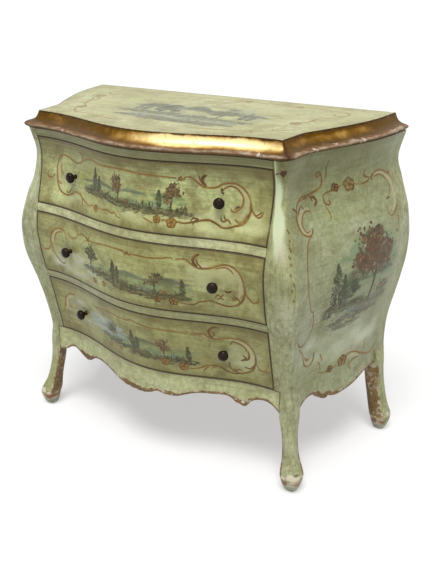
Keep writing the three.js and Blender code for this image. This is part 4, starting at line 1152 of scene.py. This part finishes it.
# Painted lines of the sides: y from the back and height z in millimetres
sideLines = strokes([
    (2.0, 0.6, -272, 729, -266, 733, -260, 727, -257, 716, -259, 704, -267, 697, -279, 693),
    (2.8, 0.55, -257, 716, -259, 704, -267, 697, -279, 693, -290, 690, -302, 689, -315, 689, -325, 685,
     -334, 679, -338, 671),
    (1.8, 0.6, -262, 725, -269, 722, -270, 728), (1.8, 0.5, -295, 684, -312, 684, -322, 681),
    (3.0, 0.8, -352, 675, -347, 671, -342, 667, -339, 663), (2.0, 0.7, -324, 673, -330, 667, -337, 657),
    (1.8, 0.7, -320, 672, -314, 665), (3.2, 0.75, -285, 686, -279, 679, -277, 673, -282, 665),
    (1.8, 0.7, -292, 688, -287, 681, -286, 675),
    (2.8, 0.55, -338, 671, -345, 654, -347, 644, -347, 634, -344, 624, -335, 616, -325, 611, -316, 611,
     -309, 615),
    (1.8, 0.6, -308, 624, -309, 617, -316, 611),
    (1.9, 0.55, -296, 656, -309, 659, -320, 654, -329, 645, -334, 636, -332, 626, -325, 619, -315, 620),
    (2.6, 0.5, -315, 609, -326, 604, -335, 595, -342, 581, -350, 564, -354, 549, -356, 529, -357, 514,
     -356, 496, -352, 479, -345, 460, -337, 447, -326, 441),
    (2.2, 0.45, -326, 441, -322, 430, -316, 415, -311, 397, -314, 382, -317, 370),
    (1.6, 0.4, -335, 425, -329, 424, -326, 415, -327, 405),
    (2.6, 0.5, -365, 380, -356, 367, -345, 360, -330, 362, -317, 370),
    (2.0, 0.4, -352, 356, -345, 349, -336, 340, -327, 332),
    (3.0, 0.5, -327, 332, -322, 317, -315, 300, -305, 290, -292, 287, -282, 297, -281, 310, -282, 317),
    (3.6, 0.4, -315, 317, -307, 307, -297, 306),
    (1.8, 0.6, -260, 679, -256, 684, -250, 686, -235, 688, -225, 686, -215, 693, -202, 696),
    (1.8, 0.55, -260, 679, -259, 666, -252, 661, -246, 664, -249, 671),
    (1.4, 0.35, -260, 659, -256, 649, -255, 639, -259, 631),
    (1.8, 0.6, -177, 691, -162, 688, -145, 688, -135, 691, -125, 696),
    (1.8, 0.65, -147, 703, -140, 699, -130, 697), (1.8, 0.65, -140, 716, -144, 706, -138, 702),
    (3.2, 0.75, -124, 690, -122, 696, -119, 700),
    (2.6, 0.55, -122, 696, -112, 703, -100, 705, -87, 704, -75, 699, -62, 691, -52, 681, -45, 669, -41, 654,
     -42, 639, -46, 626, -57, 614, -72, 604, -81, 601, -90, 606, -95, 616, -92, 626),
    (1.9, 0.5, -115, 695, -100, 696, -87, 693, -76, 684, -70, 674, -67, 661, -71, 651, -77, 646),
    (3.0, 0.85, -88, 640, -82, 642, -76, 641),
    (2.2, 0.5, -62, 693, -47, 693, -35, 696, -27, 704, -25, 710, -32, 716),
    (2.2, 0.5, -52, 616, -47, 609, -52, 599, -54, 586, -47, 579, -37, 570, -35, 575),
    (1.8, 0.45, -47, 566, -44, 554, -44, 529, -46, 509, -50, 491),
    (1.6, 0.35, -52, 455, -47, 430, -42, 405, -40, 380, -40, 357),
    (1.8, 0.4, -40, 357, -25, 337, -20, 330, -24, 322), (1.8, 0.45, -57, 310, -50, 304, -42, 305, -35, 310),
    (1.8, 0.5, -260, 255, -250, 251, -235, 250), (1.6, 0.4, -259, 262, -259, 275, -265, 285),
    (1.6, 0.4, -262, 305, -257, 295, -254, 285), (1.8, 0.5, -220, 247, -212, 252, -205, 255),
    (2.8, 0.45, -175, 270, -160, 272, -142, 267, -125, 257, -105, 247, -85, 240, -70, 242, -55, 252, -47, 260,
     -40, 280, -38, 300),
    (2.0, 0.45, -162, 245, -162, 232, -155, 225), (2.0, 0.45, -157, 245, -145, 250, -125, 247),
    (1.6, 0.45, -110, 262, -109, 280, -105, 290), (1.2, 1.0, -246, 755, -249, 740, -247, 728, -249, 715)
] + [(1.5, 1.1, y, z, y + 1, z - long) for y, z, long in [
    (-384, 640, 9), (-389, 622, 6), (-394, 607, 10), (-400, 592, 7), (-402, 576, 6), (-408, 556, 6),
    (-405, 538, 9), (-409, 522, 6), (-406, 500, 6), (-405, 470, 8)]],
    [(-227, 693, 9, 0.85, 4), (-190, 693, 14, 0.82), (-227, 252, 9, 0.7, 4), (-187, 260, 14, 0.5)])
sideLines += strokes([(7, 0.9, -380, 752, -372, 753), (4, 1.2, -373, 758, -374, 746)])
sideCream = strokes([
    (6, 0.5, -300, 662, -318, 662, -332, 652, -340, 640, -336, 624, -322, 616),
    (7, 0.5, -108, 700, -90, 699, -76, 692, -62, 680, -55, 665, -54, 645, -60, 625, -74, 612),
    (6, 0.5, -318, 316, -310, 300, -300, 296, -290, 302), (8, 0.5, -168, 262, -150, 260, -130, 252),
    (5, 0.5, -285, 690, -305, 687, -325, 681)])
# A tall russet tree over water, hills and two slim trees
rustLeaves = [(0.1, 0.036, 0.014), (0.15, 0.055, 0.02), (0.06, 0.028, 0.012), (0.06, 0.055, 0.022)]
crownClumps = [(-150, 540, 42, 26), (-164, 566, 26, 18), (-120, 512, 24, 20), (-180, 512, 26, 18),
               (-140, 580, 16, 10), (-104, 534, 16, 14), (-200, 532, 14, 12)]
sideView = [
    (touches, 130, -215, 320, 170, 56, 30, [(0.6, 0.64, 0.46)], 0.035, 0.8),
    (touches, 190, -165, 500, 112, 95, 17, [(0.22, 0.29, 0.15), (0.27, 0.33, 0.21), (0.17, 0.24, 0.11)],
     0.13, 0.7),
    (hills, -265, -75, 478, 50, 0.17), (touches, 90, -225, 466, 30, 24, 5, greens, 0.4),
    (slimTree, -265, 424, 112, greens + [russets[2]]), (slimTree, -245, 422, 84, greens),
    (viewStroke, -150, 410, -146, 505, 3.2, barkBrown, 0.85),
    (viewStroke, -147, 470, -172, 516, 2.0, barkBrown, 0.75),
    (viewStroke, -147, 478, -120, 524, 2.0, barkBrown, 0.75),
] + [row for x, z, wide, high in crownClumps for row in [
    (leaves, int(wide * 8), x, z, wide * 0.85, high * 0.85, 3.0, rustLeaves),
    (leaves, int(wide * 0.8), x, z, wide * 0.8, high * 0.8, 2.2, [(0.32, 0.17, 0.06)])]] + [
    (bush, -104, 430, 20, greens + russets), (bush, -204, 420, 18, greens),
    (bush, -176, 416, 12, greens + russets),
    (water, -240, -110, 418, 26), (bank, -290, -160, 422, -10, 13, greens + slates, 0.6),
    (bank, -200, -70, 408, 6, 14, [(0.1, 0.065, 0.035), (0.06, 0.07, 0.04)] + slates, 0.6),
    (bank, -270, -104, 384, 12, 13, slates + [greens[3]], 0.62), (bank, -250, -160, 366, 4, 8, slates, 0.5),
    (reeds, -290, -262, 404, 22, slates),
]


def sideMarks(places):
    return {**lineMarks(places, sideLines, sideCream), **paintedView(places, 51, sideView)}


def makeSide(name, side):
    size, tall = lowerEdges["sideStep"], lowerEdges["sideTall"]
    stations = closeSteps(lowerEdges["sideFront"], lowerEdges["sideBack"], False, size)
    y, s = np.meshgrid(stations, closeSteps(0, tall, size=size) / tall, indexing="ij")
    low = sideEdge(y)
    z = mix(low, case["top"], s)
    up, down = z - low, case["top"] - z
    rise = carvedRise(y, up, lowerEdges["sideLobes"])
    outer = np.stack([side * (sideAt(y, z) - roundedOff(up * lowerEdges["roundShare"]) + rise), y, z], -1)
    yIn, zIn = coarseRows(y, lowerEdges["sideColumns"]), coarseRows(z, lowerEdges["sideColumns"])
    inner = np.stack([side * (sideAt(yIn, zIn) - lowerEdges["thickSide"]), yIn, zIn], -1)
    # painted shade darkens the top of the side, under the moulding
    makeBoard("painted_side_" + name, outer, inner, "case", ["side_board_" + name], sidePaint,
              {**sideMarks(np.column_stack([y.ravel(), z.ravel()]) * 1000),
               "edgeNear": edgeNear(np.minimum(up * lowerEdges["edgeShare"], down * 1.2 + 0.004)),
               "shadeNear": fading(down, *lowerEdges["sideShade"]),
               "giltNear": giltBand(y, up, lowerEdges["sideLobes"])})


bothSides = [("left", -1), ("right", 1)]
makeApron()
for name, side in bothSides:
    makeSide(name, side)
print("rails, apron and sides are painted")

# Posts that run down into the legs; the painted marks of a front post: level x and height z in millimetres
postLines = strokes([(7, 0.9, 335, 752, 342, 753), (4, 1.2, 337, 758, 337, 746),
                     (1.2, 1.1, 322, 750, 330, 753)])
leg = {
    "front": {"ankle": (0.352, 0.349, 0.018), "toe": (0.376, 0.378, 0.026)},   # x, depth, half width
    "back": {"ankle": (0.430, 0.028, 0.023), "toe": (0.458, 0.030, 0.026)},
    "ankleHeight": 0.175, "toeHeight": 0.040, "top": 0.243, "base": 0.010, "roundShare": 0.9,
    "splay": [(0, 0.96), (0.17, 1), (0.23, 0.95), (0.31, 0.8), (0.4, 0.64), (0.51, 0.48), (0.63, 0.33),
              (0.74, 0.2), (0.86, 0.09), (1, 0)],
    "slim": [(0, 1), (0.23, 1), (0.31, 0.75), (0.4, 0.3), (0.51, 0), (0.63, -0.12), (0.74, -0.12),
             (0.86, -0.06), (1, 0)],
    "edgeRadius": 0.0015, "backInner": 0.400, "backDepth": 0.052,
    "square": {"front": (0, 2), "back": (1,)}, "squareAbove": 0.185, "squareFade": 0.06,
    # how many dabs, height, spread, size, strength, colour; then for the painted highlights how many, place,
    # height, their spreads, strength and colour
    "footDabs": [(30, 12, 7, 8, 0.45, (0.27, 0.3, 0.24)), (16, 33, 3, 8, 0.9, (0.28, 0.11, 0.045)),
                 (16, 22, 4, 6, 0.6, (0.5, 0.45, 0.33)), (16, 42, 5, 7, 0.8, (0.56, 0.51, 0.38)),
                 (8, 48, 4, 3, 0.7, (0.12, 0.09, 0.05))],
    "highlightDabs": [(70, 27, 690, 5, 45, 0.085, (0.64, 0.72, 0.46)),
                 (40, 35, 590, 4, 40, 0.02, (0.6, 0.57, 0.4)),
                 (40, 32, 470, 5, 60, 0.028, (0.56, 0.56, 0.4))],
    "arcSteps": 12, "runs": {"front": [16, 46, 8, 20], "back": [14, 26, 8, 14]}, "step": 0.002,
    "giltTop": 0.182, "giltFade": 0.02, "giltFoot": (0.034, 0.012),
    # how sharply the gilt ends, and where it faces: sideways and backwards in front, mostly backwards behind
    "giltFacing": {"front": (2.2, 0.54, 0.15), "back": (3.5, (-0.1, -0.99), 0.74)},
    "around": 160, "dabsBelow": 0.06, "dabsAbove": 0.3, "footShade": (0.05, 0.4), "topShade": (0.06, 0.5),
    "jointFall": 8000, "seamNear": 30, "ankleNear": (20, 18), "ankleReach": 0.02,
    # points along a front post's loop: its rounded corner, the side's paint, the joint by the drawers
    "cornerBack": 7, "sidePast": 8, "paintFrom": 4, "jointPast": 8, "seamAt": 14, "seamWide": 3,
    "frontPast": 44,
}


def roundedLoop(corners, radii, runs):
    line = []
    corners = [np.array(corner, float) for corner in corners]
    t = np.linspace(0, 1, leg["arcSteps"] + 1)[:, None]
    for i in range(4):
        corner, before, after = corners[i], corners[i - 1], corners[(i + 1) % 4]
        ahead = (after - corner) / np.linalg.norm(after - corner)
        start = corner + (before - corner) / np.linalg.norm(before - corner) * radii[i]
        end = corner + ahead * radii[i]
        arc = (1 - t) ** 2 * start + 2 * t * (1 - t) * corner + t * t * end
        nextStart = after - ahead * radii[(i + 1) % 4]
        line.extend([arc, np.linspace(end, nextStart, runs[i] + 2)[1:-1]])
    return np.concatenate(line)


def legLoop(kind, z):
    ankle, toe = leg[kind]["ankle"], leg[kind]["toe"]
    t = z / leg["ankleHeight"]
    splay = float(along(leg["splay"], t))
    flare = float(along(leg["slim"], max(t, leg["toeHeight"] / leg["ankleHeight"])))
    full = ankle[2] + (toe[2] - ankle[2]) * flare
    half = mix(leg["base"], full, math.sqrt(min(z / leg["toeHeight"], 1)))
    x, y = mix(ankle[0], toe[0], splay), -mix(ankle[1], toe[1], splay)
    corners = [(x - half, y - half), (x + half, y - half), (x + half, y + half), (x - half, y + half)]
    radii = [half * leg["roundShare"]] * 4
    share = min(max((leg["squareAbove"] - z) / leg["squareFade"], 0), 1)
    for corner in leg["square"][kind]:       # flush with the boards that end there
        radii[corner] = mix(leg["edgeRadius"], radii[corner], eased(share))
    return roundedLoop(corners, radii, leg["runs"][kind])


def postLoop(kind, z, inner):
    plan = {key: float(value) for key, value in casePlan(z).items()}
    small, rear, depth = leg["edgeRadius"], case["rearOfPost"], -leg["backDepth"]
    if kind == "front":
        corners = [(inner, -plan["edge"]), (plan["corner"], -plan["edge"]),
                   (float(sideLine(plan, rear)), rear), (inner, rear)]
        return roundedLoop(corners, [small, plan["radius"], 0.0003, small], leg["runs"][kind])
    corners = [(leg["backInner"], depth), (float(sideLine(plan, depth)), depth),
               (float(sideLine(plan, 0)), 0), (leg["backInner"], 0)]
    return roundedLoop(corners, [small, 0.0003, small, small], leg["runs"][kind])


def postLoops(kind):
    # heights, their loops, and the share of gilt at each point
    toe, ankle, fork = leg["toeHeight"], leg["ankleHeight"], leg["top"]
    ankleLoop = legLoop(kind, ankle - 1e-6)
    ring = legLoop(kind, leg["squareAbove"] - leg["squareFade"])
    facing = 2 * (ring - ring.min(0)) / np.ptp(ring, 0) - 1
    crisp, first, second = leg["giltFacing"][kind]   # gilt on the faces turned under the chest
    if kind == "front":
        turned = np.maximum(-facing[:, 0] - first, facing[:, 1] - second)
    else:
        turned = facing @ first - second
    inside = np.clip(0.5 + crisp * turned, 0, 1)
    share = np.linspace(0, 1, 31)
    low = np.concatenate([toe * share * share, np.arange(toe + leg["step"], ankle, leg["step"])])
    rows = [(z, legLoop(kind, z), 1) for z in low]
    for z in np.append(np.arange(ankle, fork, leg["step"]), fork):
        loop = mix(ankleLoop, postLoop(kind, z, case["apronHalf"]), eased((z - ankle) / (fork - ankle)))
        rows.append((z, loop, 1 - min(max((z - leg["giltTop"]) / leg["giltFade"], 0), 1)))
    for z in np.linspace(fork + seatGap, case["top"], int((case["top"] - fork) / leg["step"])):
        rows.append((z, postLoop(kind, z, case["openingHalf"]), 0))
    heights, loops, gilt = zip(*rows)
    return heights, loops, np.outer(gilt, inside)


def footMarks(marks, around, z, forward, pale):
    # chipped feet: loose dabs of white ground, red clay and grey; then a painted highlight down the front of
    # the front posts
    scene = newView(np.column_stack([around, z * 1000]), 5)
    chance = scene["chance"]
    for count, level, spread, wide, strength, colour in leg["footDabs"]:
        for _ in range(count):
            dab(scene, chance.uniform(0, leg["around"]), chance.normal(level, spread),
                wide * chance.uniform(0.4, 1.3), wide * chance.uniform(0.4, 1.0),
                np.array(colour) * chance.uniform(0.8, 1.15), strength * chance.uniform(0.5, 1.0),
                chance.uniform(-0.4, 0.4))
    for count, across, level, spreadX, spreadZ, strength, colour in leg["highlightDabs"]:
        for _ in range(count):                       # a painted highlight down the corner
            dab(scene, chance.normal(across, spreadX), chance.normal(level, spreadZ), 4, 26, colour,
                strength * pale)
    shown, low = viewMarks(scene), (z < leg["dabsBelow"]) | (forward & (z > leg["dabsAbove"]))
    marks["viewCover"] = np.where(low, shown["viewCover"], marks["viewCover"])
    marks["viewColour"] = np.where(low[:, None], shown["viewColour"], marks["viewColour"])
    return marks


def makePost(kind, name, side):
    heights, loops, gilt = postLoops(kind)
    loops = np.array([np.column_stack([side * loop[:, 0], loop[:, 1], np.full(len(loop), z)])
                      for z, loop in zip(heights, loops)])
    points, quads, caps = loopSkin(loops)
    x, y, z = points.T
    rows, count = loops.shape[:2]
    index = np.tile(np.arange(count), rows)
    total = len(points)
    start, fade = leg["giltFoot"]
    marks = {"giltNear": gilt.ravel() * np.clip((z - start) / fade, 0, 1), "edgeNear": np.zeros(total),
             "viewCover": np.zeros(total), "viewColour": np.full((total, 3), 0.3)}
    second = None
    if kind == "front":
        # the side scrolls run on over the post's side face, between its rounded corner and its rear
        frontRun, sideRun = leg["runs"]["front"][:2]
        first = 2 * (leg["arcSteps"] + 1) + frontRun - leg["cornerBack"]
        last = first + sideRun + leg["sidePast"]
        onSide = (index >= first) & (index <= last) & (z > leg["top"])
        onFront = (index < first) & (z > leg["top"])
        for key, values in sideMarks(np.column_stack([y, z])[onSide] * 1000).items():
            marks[key] = np.zeros((total,) + values.shape[1:])
            marks[key][onSide] = values
        near, tone = brushOn(np.column_stack([x * side, z])[onFront] * 1000, postLines)
        marks["lineNear"][onFront], marks["lineTone"][onFront] = near, tone
        # darker along the drawer openings: dirt, and painted shade of the gap
        opening = 40 - (x * side - case["openingHalf"]) * leg["jointFall"]
        opening = np.clip((index < leg["jointPast"] + frontRun) * opening, 0, 40) * (z > leg["top"])
        seam = np.clip(1 - np.abs(index - leg["seamAt"]) / leg["seamWide"], 0, 1)
        seam = seam * (z < leg["top"]) * (z > leg["ankleHeight"])
        least, more = leg["ankleNear"]
        ankle = np.where(z < leg["ankleHeight"] + leg["ankleReach"], least + more * marks["giltNear"], 0)
        marks["edgeNear"] = np.maximum(opening, np.maximum(ankle, leg["seamNear"] * seam))
        strip = np.arange((rows - 1) * count + 2)
        across, start = strip % count, strip // count * count
        second = (sidePaint, (across >= first + leg["paintFrom"]) & (across < last)
                  & (strip < (rows - 1) * count) & (start >= np.count_nonzero(z <= leg["top"])))
    forward = (kind == "front") & (index < leg["frontPast"])
    # the painted highlight is full on the right post and faint on the left
    marks = footMarks(marks, index / count * leg["around"], z, forward, 1 if side > 0 else 0.25)
    # painted shade under the moulding at the top of the post, and darker towards the floor at the foot
    marks["shadeNear"] = np.maximum(fading(case["top"] - z, *leg["topShade"]), fading(z, *leg["footShade"]))
    label = kind + "_post_" + name
    makePiece("painted_" + label, points, quads, caps, "case", [label], postPaint, marks,
              second)


for name, side in bothSides:
    makePost("front", name, side)
    makePost("back", name, side)
print("posts and legs are painted")

# Top board and the gilt moulding under it
top = {
    "thick": 0.022, "centre": 0.420, "edge": 0.358, "corner": 0.326, "back": 0.425, "valley": 0.318,
    "cornerRadius": 0.004, "projection": 0.034, "ledge": 0.014, "radiusShare": 0.8, "height": 0.036,
    "grid": (360, 180), "edgeRadius": 0.0016, "rimNear": 37.8, "far": 60.0, "within": (-60, -290, 240),
    "cove": [(0, 0), (0.04, 0.02), (0.09, 0.12), (0.17, 0.3), (0.33, 0.49), (0.56, 0.6), (0.8, 0.66),
             (0.95, 0.71), (1, 0.78), (0.96, 0.87), (0.85, 0.95), (0.7, 1)],
}
# Painted lines of the top: level x and y from the back in millimetres
topLines = strokes([
    (3.0, 0.4, -300, -60, -318, -72, -322, -95, -305, -112, -292, -100),
    (3.0, 0.4, -330, -130, -322, -150, -300, -165, -295, -190, -306, -210),
    (3.0, 0.4, -320, -160, -300, -200, -285, -240, -262, -262),
    (3.0, 0.35, -270, -290, -255, -312, -235, -328, -205, -330),
    (2.8, 0.35, -200, -334, -160, -344, -120, -352, -80, -355),
    (2.8, 0.4, -300, -45, -285, -38, -262, -40, -250, -50, -230, -44, -200, -40),
    (2.6, 0.35, -200, -40, -120, -44, -60, -40, 0, -44, 60, -46),
    (2.8, 0.4, 65, -45, 85, -36, 110, -44, 140, -40, 200, -46),
    (2.6, 0.35, 200, -46, 240, -40, 280, -46, 310, -58),
    (3.0, 0.45, 310, -58, 335, -62, 347, -80, 338, -100, 320, -98, 316, -84),
    (3.0, 0.4, 342, -98, 334, -120, 312, -134, 300, -150, 302, -170, 314, -180),
    (3.0, 0.4, 300, -160, 296, -182, 284, -200, 276, -218),
    (3.0, 0.4, 310, -262, 296, -274, 284, -286, 270, -290, 262, -282),
    (2.8, 0.35, 270, -290, 252, -308, 232, -320, 200, -326, 150, -338, 90, -350),
    (2.8, 0.45, 225, -314, 234, -322, 240, -332)
], [(-264, -276, 12, 0.35), (70, -42, 9, 0.4), (280, -210, 12, 0.45),
    (-312, -140, 10, 0.35), (210, -44, 9, 0.4)])
# Lake, hills and low woods in thin slate washes
topView = [
    (touches, 200, 20, -205, 190, 90, 20, [(0.3, 0.33, 0.18), (0.35, 0.38, 0.23)], 0.13, 0.5),
    (hills, -160, 70, -188, 56, 0.22), (hills, 20, 210, -200, 44, 0.2),
    (slimTree, -132, -240, 84, slates + [greens[3]]), (slimTree, -112, -240, 60, slates + [greens[3]]),
    (slimTree, 152, -240, 76, slates + [greens[3]]), (slimTree, 172, -240, 54, slates + [greens[3]]),
    (roundTree, -62, -250, 92, 34, slates + [greens[3]]),
    (roundTree, 96, -254, 84, 30, slates + [(0.14, 0.13, 0.07)]),
    (bush, -24, -252, 22, slates), (bush, 56, -254, 18, slates), (water, -120, 170, -258, 34),
    (bank, -175, 30, -254, -8, 13, slates, 0.7), (bank, -20, 210, -260, -6, 13, slates, 0.65),
    (bank, -160, 180, -298, -6, 13, slates, 0.66), (bank, -70, 130, -312, 0, 7, slates, 0.5),
]


def topPlan(out):
    return {"edge": top["edge"] + out, "centre": top["centre"] + out, "corner": top["corner"] + out,
            "back": top["back"] + out, "valley": top["valley"],
            "radius": max(top["cornerRadius"] + out * top["radiusShare"], top["cornerRadius"])}


def topCorner(out, t):
    plan = topPlan(out)
    start = np.array([plan["corner"] - plan["radius"], -plan["edge"]])
    tip = np.array([plan["corner"], -plan["edge"]])
    endY = -plan["edge"] + plan["radius"]
    end = np.array([float(sideLine(plan, endY)), endY])
    t = np.asarray(t)[:, None]
    return (1 - t) ** 2 * start + 2 * t * (1 - t) * tip + t * t * end


def topFrontLine(out, count=150):
    # half of the front from the middle to the mitre in the corner
    plan = topPlan(out)
    x = np.linspace(0, plan["corner"] - plan["radius"], count)
    middle = np.column_stack([x, frontLine(plan, x)])
    return np.concatenate([middle, topCorner(out, np.linspace(0, 0.5, 10)[1:])])


def topSideLine(out, count=150):
    plan = topPlan(out)
    y = np.linspace(-plan["edge"] + plan["radius"], 0, count)
    straight = np.column_stack([sideLine(plan, y), y])
    return np.concatenate([topCorner(out, np.linspace(0.5, 1, 10)), straight[1:]])


def mirrored(half):
    return np.concatenate([half[:0:-1] * [-1, 1], half])


def rimOf(rows, columns):
    up = [i * columns for i in range(rows)]
    over = [(rows - 1) * columns + j for j in range(1, columns)]
    down = [i * columns + columns - 1 for i in range(rows - 2, -1, -1)]
    return np.array(up + over + down + list(range(columns - 2, 0, -1)))


def topPatch(out, columns, rows):
    # grid over the top: from the back edge to the front one, between the two side lines
    front = resampled(mirrored(topFrontLine(out)), columns)
    right = resampled(topSideLine(out)[::-1], rows)
    left = right * [-1, 1]
    back = np.linspace(left[0], right[0], columns)
    u = np.linspace(0, 1, columns)[:, None, None]
    v = np.linspace(0, 1, rows)[None, :, None]
    ruled = (1 - v) * back[:, None, :] + v * front[:, None, :]
    across = (1 - u) * left[None, :, :] + u * right[None, :, :]
    corners = (1 - u) * ((1 - v) * left[0] + v * left[-1]) + u * ((1 - v) * right[0] + v * right[-1])
    return ruled + across - corners


def makeTop():
    columns, rows = top["grid"]
    radius = top["edgeRadius"]
    rings = []
    for angle in (0, 30, 60, 90):
        a = math.radians(angle)
        out = -seatGap - radius + radius * math.sin(a)
        rings.append((topPatch(out, columns, rows), case["height"] - radius + radius * math.cos(a)))
    rings.append((rings[-1][0], case["height"] - top["thick"] + seatGap))
    rim = rimOf(columns, rows)
    patch, z = rings[0]
    points = [np.dstack([patch, np.full(patch.shape[:2], z)]).reshape(-1, 3)]
    quads = [gridFaces(columns, rows)]
    before, total = rim, columns * rows
    for ringPatch, z in rings[1:]:
        ring = ringPatch.reshape(-1, 2)[rim]
        points.append(np.column_stack([ring, np.full(len(ring), z)]))
        here = total + np.arange(len(rim))
        quads.append(np.stack([np.roll(before, -1), before, here, np.roll(here, -1)], -1))
        before = here
        total += len(rim)
    points = np.concatenate(points)
    places = points[:columns * rows, :2] * 1000
    rimLine = patch.reshape(-1, 2)[rim][::3] * 1000
    edge = np.full(len(places), top["far"])            # only the outer part is near enough to count
    back, front, half = top["within"]
    outer = np.nonzero((places[:, 1] > back) | (places[:, 1] < front) | (np.abs(places[:, 0]) > half))[0]
    for part in np.array_split(outer, 30):
        edge[part] = np.linalg.norm(places[part, None] - rimLine[None], axis=2).min(1)
    near, tone = brushOn(places, topLines)
    marks = {"lineNear": near, "lineTone": tone, "edgeNear": np.clip(40 - edge * 0.6, 0, 40),
             **paintedView(places, 77, topView)}
    marks = {key: padded(values, total, top["rimNear"] if key == "edgeNear" else 0.0)
             for key, values in marks.items()}
    makePiece("painted_top", points, np.concatenate(quads), [before.tolist()], "case", ["top_panel"],
              topPaint, marks)


def mouldingSection():
    # pairs of outward distance and height, with the share of the way down the outline
    cove = smoothLine(top["cove"], 4)
    reach, floorZ, under = top["projection"], case["top"] + seatGap, case["height"] - top["thick"]
    section = [(out * reach, case["height"] - down * top["height"], down) for out, down in cove]
    section += [(-top["ledge"], floorZ, 1.0), (-top["ledge"], under, 1.0), (0, under, 1.0)]
    return [(min(out, reach), min(max(z, floorZ), case["height"]), down) for out, z, down in section]


# the bright band along the front of the cove is in part worn leaf and in part a painted highlight where light
# falls on it
goldShares = {   # how bright the leaf is along the front and back along each side, and down the outline
    "front": [(-0.36, 0), (-0.2, 0.1), (-0.1, 0.08), (-0.02, 0.3), (0.04, 0.7), (0.1, 0.95), (0.24, 1),
              (0.31, 0.8), (0.34, 0.4), (0.36, 0.1)],
    "side": [(-0.39, 0.05), (-0.34, 0.18), (-0.25, 0.32), (-0.15, 0.3), (-0.08, 0.18), (0, 0)],
    "frontDown": [(0, 0.1), (0.12, 0.6), (0.3, 1), (0.5, 1), (0.62, 0.6), (0.8, 0.4), (1, 0.2)],
    "sideDown": [(0, 0.1), (0.14, 0.35), (0.26, 0.85), (0.36, 1), (0.5, 0.8), (0.62, 0.35), (1, 0.1)],
    "chipping": 0.15, "chippedBelow": 0.62, "mitre": (1.1, 7, 0.85),
    "chips": {"front": [(-0.30, 0.012), (-0.21, 0.010), (0.04, 0.012), (0.30, 0.016)],
              "right": [(-0.302, 0.03), (-0.245, 0.016), (-0.175, 0.014), (-0.045, 0.03)],
              "left": [(-0.2, 0.02), (-0.05, 0.015)]},
}


def makeMoulding(name, pick, side, ends):
    section = mouldingSection()
    lines = []
    for out, z, _ in section:
        line = pick(out)
        for end in ends:
            inward = line[1] if end == 0 else line[-2]
            line[end] += (inward - line[end]) / np.linalg.norm(inward - line[end]) * seatGap
        lines.append(np.column_stack([side * line[:, 0], line[:, 1], np.full(len(line), z)]))
    loops = np.array(lines).transpose(1, 0, 2)
    points, quads, caps = loopSkin(loops)
    count = loops.shape[0]
    down = np.tile([share for _, _, share in section], count)
    station = np.repeat(np.arange(count), loops.shape[1])
    fromEnd = np.min([station if end == 0 else count - 1 - station for end in ends], 0)
    face, at = ("front", points[:, 0]) if name == "front" else ("side", points[:, 1])
    chips = np.zeros(len(points))
    for spot, size in goldShares["chips"][name]:
        chip = goldShares["chipping"] * np.exp(-((at - spot) / size) ** 2)
        chips = np.maximum(chips, chip * (down > goldShares["chippedBelow"]))
    # brightness of the leaf along and down the moulding, partly a painted highlight
    bright = along(goldShares[face], at) * along(goldShares[face + "Down"], down)
    full, reach, strength = goldShares["mitre"]
    makePiece("gilt_moulding_" + name, points, quads, caps, "case", ["moulding_" + name],
              gilding, {"downShare": down, "leafShineAndHighlight": bright, "chipNear": chips,
                        "mitreNear": np.clip(full - fromEnd / reach, 0, 1) * strength})


makeTop()
makeMoulding("front", lambda out: mirrored(topFrontLine(out, 220)), 1, [0, -1])
for name, side in bothSides:
    makeMoulding(name, lambda out: topSideLine(out, 170), side, [0])
print("top and mouldings are painted and gilt")

# Turned knobs
knob = {
    "radius": 0.0125, "length": 0.027, "socket": 0.0025, "steps": 40,
    "places": {"lower": (-0.64, 0.65), "middle": (-0.64, 0.64), "upper": (-0.6, 0.64)},
    "outline": [(0.44, 0), (0.42, 0.22), (0.38, 0.3), (0.62, 0.4), (0.9, 0.52), (1, 0.68), (0.9, 0.84),
                (0.6, 0.95), (0.25, 1), (0.02, 1.0)],
}


def knobSeat(share, z):
    x = share * case["openingHalf"]
    y = float(frontAt(x, z))
    outward = Vector((float(frontAt(x + knob["radius"], z)) - y, -knob["radius"], 0)).normalized()
    seat = Vector((x, y, z)) - outward * knob["socket"]
    return Matrix.Translation(seat) @ Vector((0, 1, 0)).rotation_difference(outward).to_matrix().to_4x4()


def makeKnob(name, sideName, share, z):
    outline = smoothLine(knob["outline"], 5)
    angle = np.linspace(0, 2 * math.pi, knob["steps"], endpoint=False)
    radius = np.clip(outline[:, 0], 0.01, 1) * knob["radius"]
    height = seatGap + np.minimum(outline[:, 1], 1) * knob["length"]
    loops = np.stack([np.outer(radius, np.cos(angle)), np.repeat(height[:, None], len(angle), 1),
                      np.outer(radius, np.sin(angle))], -1)
    points, quads, caps = loopSkin(loops)
    seat = np.array(knobSeat(share, z))
    points = points @ seat[:3, :3].T + seat[:3, 3]
    label = name + "_knob_" + sideName
    makePiece("turned_" + label, points, quads, caps, name + "_drawer", [label], knobEbony)


for i, name in enumerate(drawer["names"]):
    middle = case["openingBottom"] + i * pitch + case["opening"] / 2
    for (sideName, side), share in zip(bothSides, knob["places"][name]):
        makeKnob(name, sideName, share, middle)
print("knobs are turned")

# Inner boards keep their solids and get bare wood
for name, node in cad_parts.items():
    if node.hide_render:
        continue
    turned = "_side_" in name or "runner" in name or "kicker" in name
    material = screwSteel if "screw" in name else turnedWood if turned else bareWood
    for index in range(len(node.material_slots)):
        node.material_slots[index].link = "OBJECT"
        node.material_slots[index].material = material
print("inner boards have their wood")
